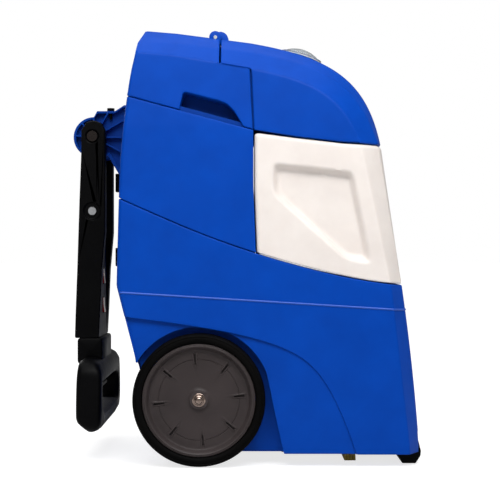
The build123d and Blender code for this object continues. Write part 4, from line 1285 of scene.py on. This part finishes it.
# Blown natural polyethylene of the clean-water tank: greyer and more see-through.
TANK_NATURAL = moulded("blown_polyethylene_natural", "#e4e2d6", "#d8d5c6", 0.45, 2.2, 0.04,
                       Subsurface_Weight=0.25, Subsurface_Scale=6.0 * MM)
# Glass-filled nylon, black, spark-eroded mould: a dry leathery grain that stays nearly matt.
BLACK = moulded("moulded_nylon_black", "#060607", "#030304", 0.42, 0.9, 0.05, wear="#0c0c0d",
                Specular_IOR_Level=0.06)
# Filled polypropylene, warm grey-brown, of the wheel centres: low gloss with a fine grain.
HUB_GREY = moulded("moulded_polypropylene_grey", "#3f3838", "#363030", 0.42, 1.1, 0.05,
                   wear="#5a5252", Specular_IOR_Level=0.15)
# Vulcanised rubber of the tyres: very dark and dull, greyed by dust in its pores.
RUBBER = moulded("vulcanised_rubber_black", "#040404", "#090808", 0.6, 1.3, 0.09,
                 Specular_IOR_Level=0.04)
# Thermoplastic elastomer of the hand bar: deep black with a dry, slightly sticky sheen.
SOFT_RUBBER = moulded("elastomer_grip_black", "#050505", "#0a0a0a", 0.7, 0.8, 0.07,
                      Sheen_Weight=0.15)
# Extruded nylon bush stock: waxy off-white.
NYLON = moulded("machined_nylon_natural", "#e9e5d8", "#ded9c9", 0.4, 0.7, 0.03)
# Painted steel motor can: smooth dark enamel.
MOTOR = moulded("enamelled_steel_grey", "#43464a", "#393c40", 0.35, 3.0, 0.02, Coat_Weight=0.3)
# Moulded polycarbonate rocker: glossy red.
RED = moulded("moulded_polycarbonate_red", "#a3140f", "#8f100c", 0.22, 2.0, 0.02, Coat_Weight=0.4)
# Chromium plate over steel: mirror-like and faintly hazed; its colour is tinted brown, a painted reflection
# of a room.
CHROME_PAINTED_REFLECTION = metal("chromium_plate_painted_reflection", "#a8968c", "#8c7a70", 0.14, 6.0)
# Zinc-plated steel: pale, a little yellow, softly mottled.
ZINC = metal("zinc_plated_steel", "#c3c5c6", "#a9abaf", 0.34, 3.0)
# Black oxide on steel of the pivot bolts: oily dark with a small bright glint.
BLACK_STEEL = metal("black_oxide_steel", "#3a3432", "#2a2625", 0.24, 2.0)
# Machined brass: yellow with turning marks.
BRASS = metal("turned_brass", "#c9a251", "#b08a3c", 0.28, 1.0)
# Extruded aluminium: light grey with drawing lines along the bar.
ALUMINIUM = metal("extruded_aluminium", "#cfd1d3", "#b9bcc0", 0.3, 0.8, along=(1.0, 0.04, 1.0))
# Crimped nylon bristle, straw yellow: translucent at the tips, glossy along each filament.
BRISTLE = moulded("nylon_bristle_straw", "#b39a2c", "#8f7a1d", 0.38, 0.8, 0.05,
                  Subsurface_Weight=0.1, Subsurface_Scale=1.0 * MM)
# Clear moulded polycarbonate with a hard polished skin, only partly see-through: its pale diffuse part is a
# painted reflection of the white surround.
CLEAR_PAINTED_REFLECTION, clear_tree, clear_bsdf, clear_where = start_material(
    "clear_polycarbonate_painted_reflection", Transmission_Weight=0.72, IOR=1.58, Roughness=0.04)
haze = noise(clear_tree, clear_where, 12.0)
# The pale base colour is a painted reflection.
clear_tree.links.new(tint(clear_tree, between(clear_tree, haze, 0.0, 1.0), "#eef3f7", "#e2eaf0"),
                     clear_bsdf.inputs["Base Color"])
clear_tree.links.new(between(clear_tree, haze, 0.02, 0.07), clear_bsdf.inputs["Roughness"])

SLOT_MATERIALS = {
    "blue_shell": BLUE, "blue_frame": BLUE, "white_tank": TANK_WHITE,
    "natural_tank": TANK_NATURAL, "clear_window": CLEAR_PAINTED_REFLECTION, "black_plastic": BLACK,
    "hub_grey": HUB_GREY, "tyre_rubber": RUBBER, "soft_rubber": SOFT_RUBBER,
    "bright_steel": CHROME_PAINTED_REFLECTION, "zinc_steel": ZINC, "motor_case": MOTOR,
    "yellow_bristle": BRISTLE, "brass": BRASS, "aluminium_bar": ALUMINIUM,
    "nylon_bush": NYLON, "red_switch": RED,
}
# The handle brackets take the darker blue: painted shade between their ribs.
NODE_MATERIALS = {"handle_pivot_bolts": BLACK_STEEL, "window_gasket": TANK_NATURAL,
                  "hood_hinge_pins": ZINC, "handle_tie_bolt": ZINC,
                  "handle_bracket_right": BLUE_PAINTED_SHADE, "handle_bracket_left": BLUE_PAINTED_SHADE}
# Edge radii, in millimetres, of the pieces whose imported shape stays.
EDGE_RADII = {
    "vacuum_shoe": 2.0, "handle_arm_right": 2.5, "handle_arm_left": 2.5, "handle_loop": 7.0,
    "handle_bracket_right": 1.0, "handle_bracket_left": 1.0, "window_frame": 3.0,
    "hood_knuckles": 2.0, "console_body": 2.0, "console_cover": 0.8, "fill_cap": 1.2,
    "cord_hooks": 2.0, "power_inlet_panel": 0.8,
}


def finish_kept_nodes(kept):
    """Gives every kept node its finish and the small edge radii of a real moulding."""
    slots = {s["node"]: s["material_slot"] for s in frame["record"]["subparts"]}
    for name, obj in kept.items():
        mesh = obj.data
        mesh.materials.clear()
        mesh.materials.append(NODE_MATERIALS.get(name, SLOT_MATERIALS[slots[name]]))
        weld = obj.modifiers.new("merge", "WELD")
        weld.merge_threshold = 0.01 * MM
        bevel = obj.modifiers.new("edges", "BEVEL")
        bevel.width = EDGE_RADII.get(name, 0.6) * MM
        bevel.segments = 3
        bevel.limit_method = "ANGLE"
        bevel.angle_limit = math.radians(28)
        bevel.harden_normals = True
        bevel.use_clamp_overlap = True


# ---- studio -------------------------------------------------------------------------------
def studio():
    """A pale floor, four softboxes, a ceiling glow, a white surround and the camera."""
    size, z = 40000.0, -1.5
    mesh = mesh_of("studio_floor", [(-size, -size, z), (size, -size, z), (size, size, z),
                                    (-size, size, z)], [(0, 1, 2, 3)])
    floor = placed("studio_floor", mesh)
    pale, tree, bsdf, where = start_material("painted_board_white", Roughness=0.8,
                                             Emission_Color=(1.0, 1.0, 1.0, 1.0))
    seen = node(tree, "ShaderNodeLightPath").outputs["Is Camera Ray"]
    tree.links.new(between(tree, seen, 0.1, 0.74, 0.0, 1.0), bsdf.inputs["Emission Strength"])
    tree.links.new(tint(tree, between(tree, noise(tree, where, 400.0), 0.0, 1.0),
                        "#b4b4b4", "#b0b0b0"), bsdf.inputs["Base Color"])
    mesh.materials.append(pale)

    def softbox(name, place, target, size_x, size_y, power):
        data = bpy.data.lights.new(name, "AREA")
        data.shape = "RECTANGLE"
        data.size, data.size_y, data.energy = size_x, size_y, power
        lamp = placed(name, data)
        lamp.location = place
        lamp.rotation_euler = (Vector(target) - Vector(place)).to_track_quat("-Z", "Y").to_euler()

    softbox("overhead_box", (0.1, -1.6, 1.95), (0.0, 0.0, 0.55), 2.0, 1.0, 42.0)
    softbox("front_box", (-0.9, -3.2, 1.5), (0.0, 0.0, 0.45), 2.0, 1.6, 4.0)
    softbox("right_box", (2.6, -1.2, 1.2), (0.0, 0.0, 0.4), 1.4, 1.8, 3.0)
    softbox("rear_box", (-1.6, 2.6, 1.7), (0.0, 0.0, 0.4), 1.8, 1.6, 17.0)
    data = bpy.data.lights.new("ceiling_glow", "SUN")
    data.energy, data.angle = 1.5, math.radians(60)
    placed("ceiling_glow", data)
    world = bpy.data.worlds.new("white_surround")
    world.use_nodes = True
    tree = world.node_tree
    direct = node(tree, "ShaderNodeLightPath").outputs["Is Camera Ray"]
    back = tree.nodes["Background"]
    back.inputs["Color"].default_value = (1.0, 1.0, 1.0, 1.0)
    tree.links.new(between(tree, direct, 0.24, 1.0, 0.0, 1.0), back.inputs["Strength"])
    bpy.context.scene.world = world
    bpy.context.scene.view_settings.view_transform = "Standard"

    data = bpy.data.cameras.new("studio_camera")
    data.lens, data.sensor_width, data.shift_y = 87.3, 36.0, 0.004
    camera = placed("studio_camera", data)
    camera.location = (14.0 * MM, -2525.0 * MM, 409.5 * MM)
    camera.rotation_euler = (math.radians(90), 0.0, 0.0)
    bpy.context.scene.camera = camera


# ---- the pieces ---------------------------------------------------------------------------
for sign, side in ((-1, "right"), (1, "left")):
    wheel = "wheel_" + side
    solid_piece("tyre_rubber_" + side, tyre_surface(sign), RUBBER, wheel, "tyre_" + side)
    solid_piece("wheel_centre_" + side, hub_surface(sign), HUB_GREY, wheel, "hub_" + side, angle=32)
# The cap nuts' brown tint is a painted reflection.
solid_piece("axle_cap_nuts", joined(cap_nut_surface(-1), cap_nut_surface(1)), CHROME_PAINTED_REFLECTION, "body",
            "wheel_cap_nuts")
solid_piece("hand_loop", loop_surface(), BLACK, "handle", "handle_loop")
solid_piece("grip_sleeve", sleeve_surface(), SOFT_RUBBER, "handle", "hand_grip")
hood = finish_shell("hood", hood_surface(), BLUE, "hood", "hood_shell")
bezel = finish_shell("window_bezel", bezel_surface(), BLUE, "hood", "window_frame", wall=5.0,
                     roll=1.6)
collar = [(DUCT_R + 0.2, -22.0), (DUCT_R + 0.2, -0.4), (43.6, -0.4), (44.6, -1.4), (44.6, -22.0)]
solid_piece("window_collar", turned(DOME_AT, collar + collar[:1], DOME_TILT), BLUE, "hood")
duct_hole = turned(DOME_AT, [(0.001, -70.0), (DUCT_R, -70.0), (DUCT_R, 40.0), (0.001, 40.0)],
                   DOME_TILT)
carve(hood, duct_hole)
carve(bezel, duct_hole)
upper = finish_shell("upper_rear_shell", upper_rear_surface(), BLUE, "body", "top_housing",
                     depth=notch_depth)
carve(upper, turned((FILL_X, 0.0, 0.0), [(0.001, 815.0), (CUP_R, 815.0), (CUP_R, 870.0),
                                         (0.001, 870.0)]),
      *[box_surface(-68.0, -40.0, *sorted((s * 124.0, s * 139.0)), 812.0, 870.0) for s in (-1, 1)])
# The filler cup takes the darker blue: painted shade inside the cup.
solid_piece("filler_cup", cup_surface(), BLUE_PAINTED_SHADE, "body")
for sign, side in ((-1, "right"), (1, "left")):
    solid_piece("hinge_ear_" + side, ear_surface(sign), BLUE, "body")
solid_piece("hood_knuckles_moulded", joined(knuckle_surface(-1), knuckle_surface(1)), BLUE, "hood",
            "hood_knuckles")
brush_tufts(BRISTLE)
finish_shell("rear_casing_shell", casing_surface(), BLUE, "body", "rear_casing")
points, faces = tank_surface().welded()
tank = make_object("recovery_tank_shell", points, faces, TANK_WHITE, "recovery_tank")
stand_for(tank, "recovery_tank")
wall = tank.modifiers.new("blown_wall", "SOLIDIFY")
wall.thickness, wall.offset = WALL * MM, -1.0
carve(tank, *[turned((x, 0.0, 0.0), [(0.001, 600.0), (r, 600.0), (r, 660.0), (0.001, 660.0)])
              for x, r in ((135.0, 30.0), (66.0, 12.0))])
finish_shell("base_shell", base_skin_surface(), BLUE, "body", "base_housing",
             depth=lambda p: 10.0 if p[2] < 300.0 and p[0] < 222.0 else WALL)
for sign, side in ((-1, "right"), (1, "left")):
    finish_shell("wheel_bay_" + side, wheel_bay_surface(sign), BLUE, "body", wall=3.0,
                 roll=1.5)
    # The grip pockets and the hood seam lips take the darker blue: painted shade in the recesses.
    finish_shell("grip_pocket_" + side, pocket_surface(sign), BLUE_PAINTED_SHADE, "body", wall=2.5,
                 roll=1.0)
    finish_shell("hood_seam_lip_" + side, hood_seam_lip_surface(sign), BLUE_PAINTED_SHADE, "body",
                 wall=2.0, roll=0.8)
# The fold's paler blue is a painted highlight.
finish_shell("base_fold", fold_surface(), BLUE_FOLD_PAINTED_HIGHLIGHT, "body", wall=1.0, roll=0.3)
finish_shell("underbody", underbody_surface(), BLUE, "body", wall=3.0, roll=1.0)
finish_shell("deck", deck_surface(), BLUE, "body", wall=3.0, roll=1.0)
# The seam lips take the darker blue: painted shade inside the seams.
finish_shell("upper_seam_lip", seam_lip_surface(seam_z, 9.0, 19.5), BLUE_PAINTED_SHADE, "body",
             wall=2.0, roll=0.8)
finish_shell("lower_seam_lip", seam_lip_surface(deck_z, 9.0, 23.5), BLUE_PAINTED_SHADE, "body",
             wall=2.0, roll=0.8)
studio()
finish_kept_nodes({name: obj for name, obj in frame["nodes"].items() if name not in REPLACED})
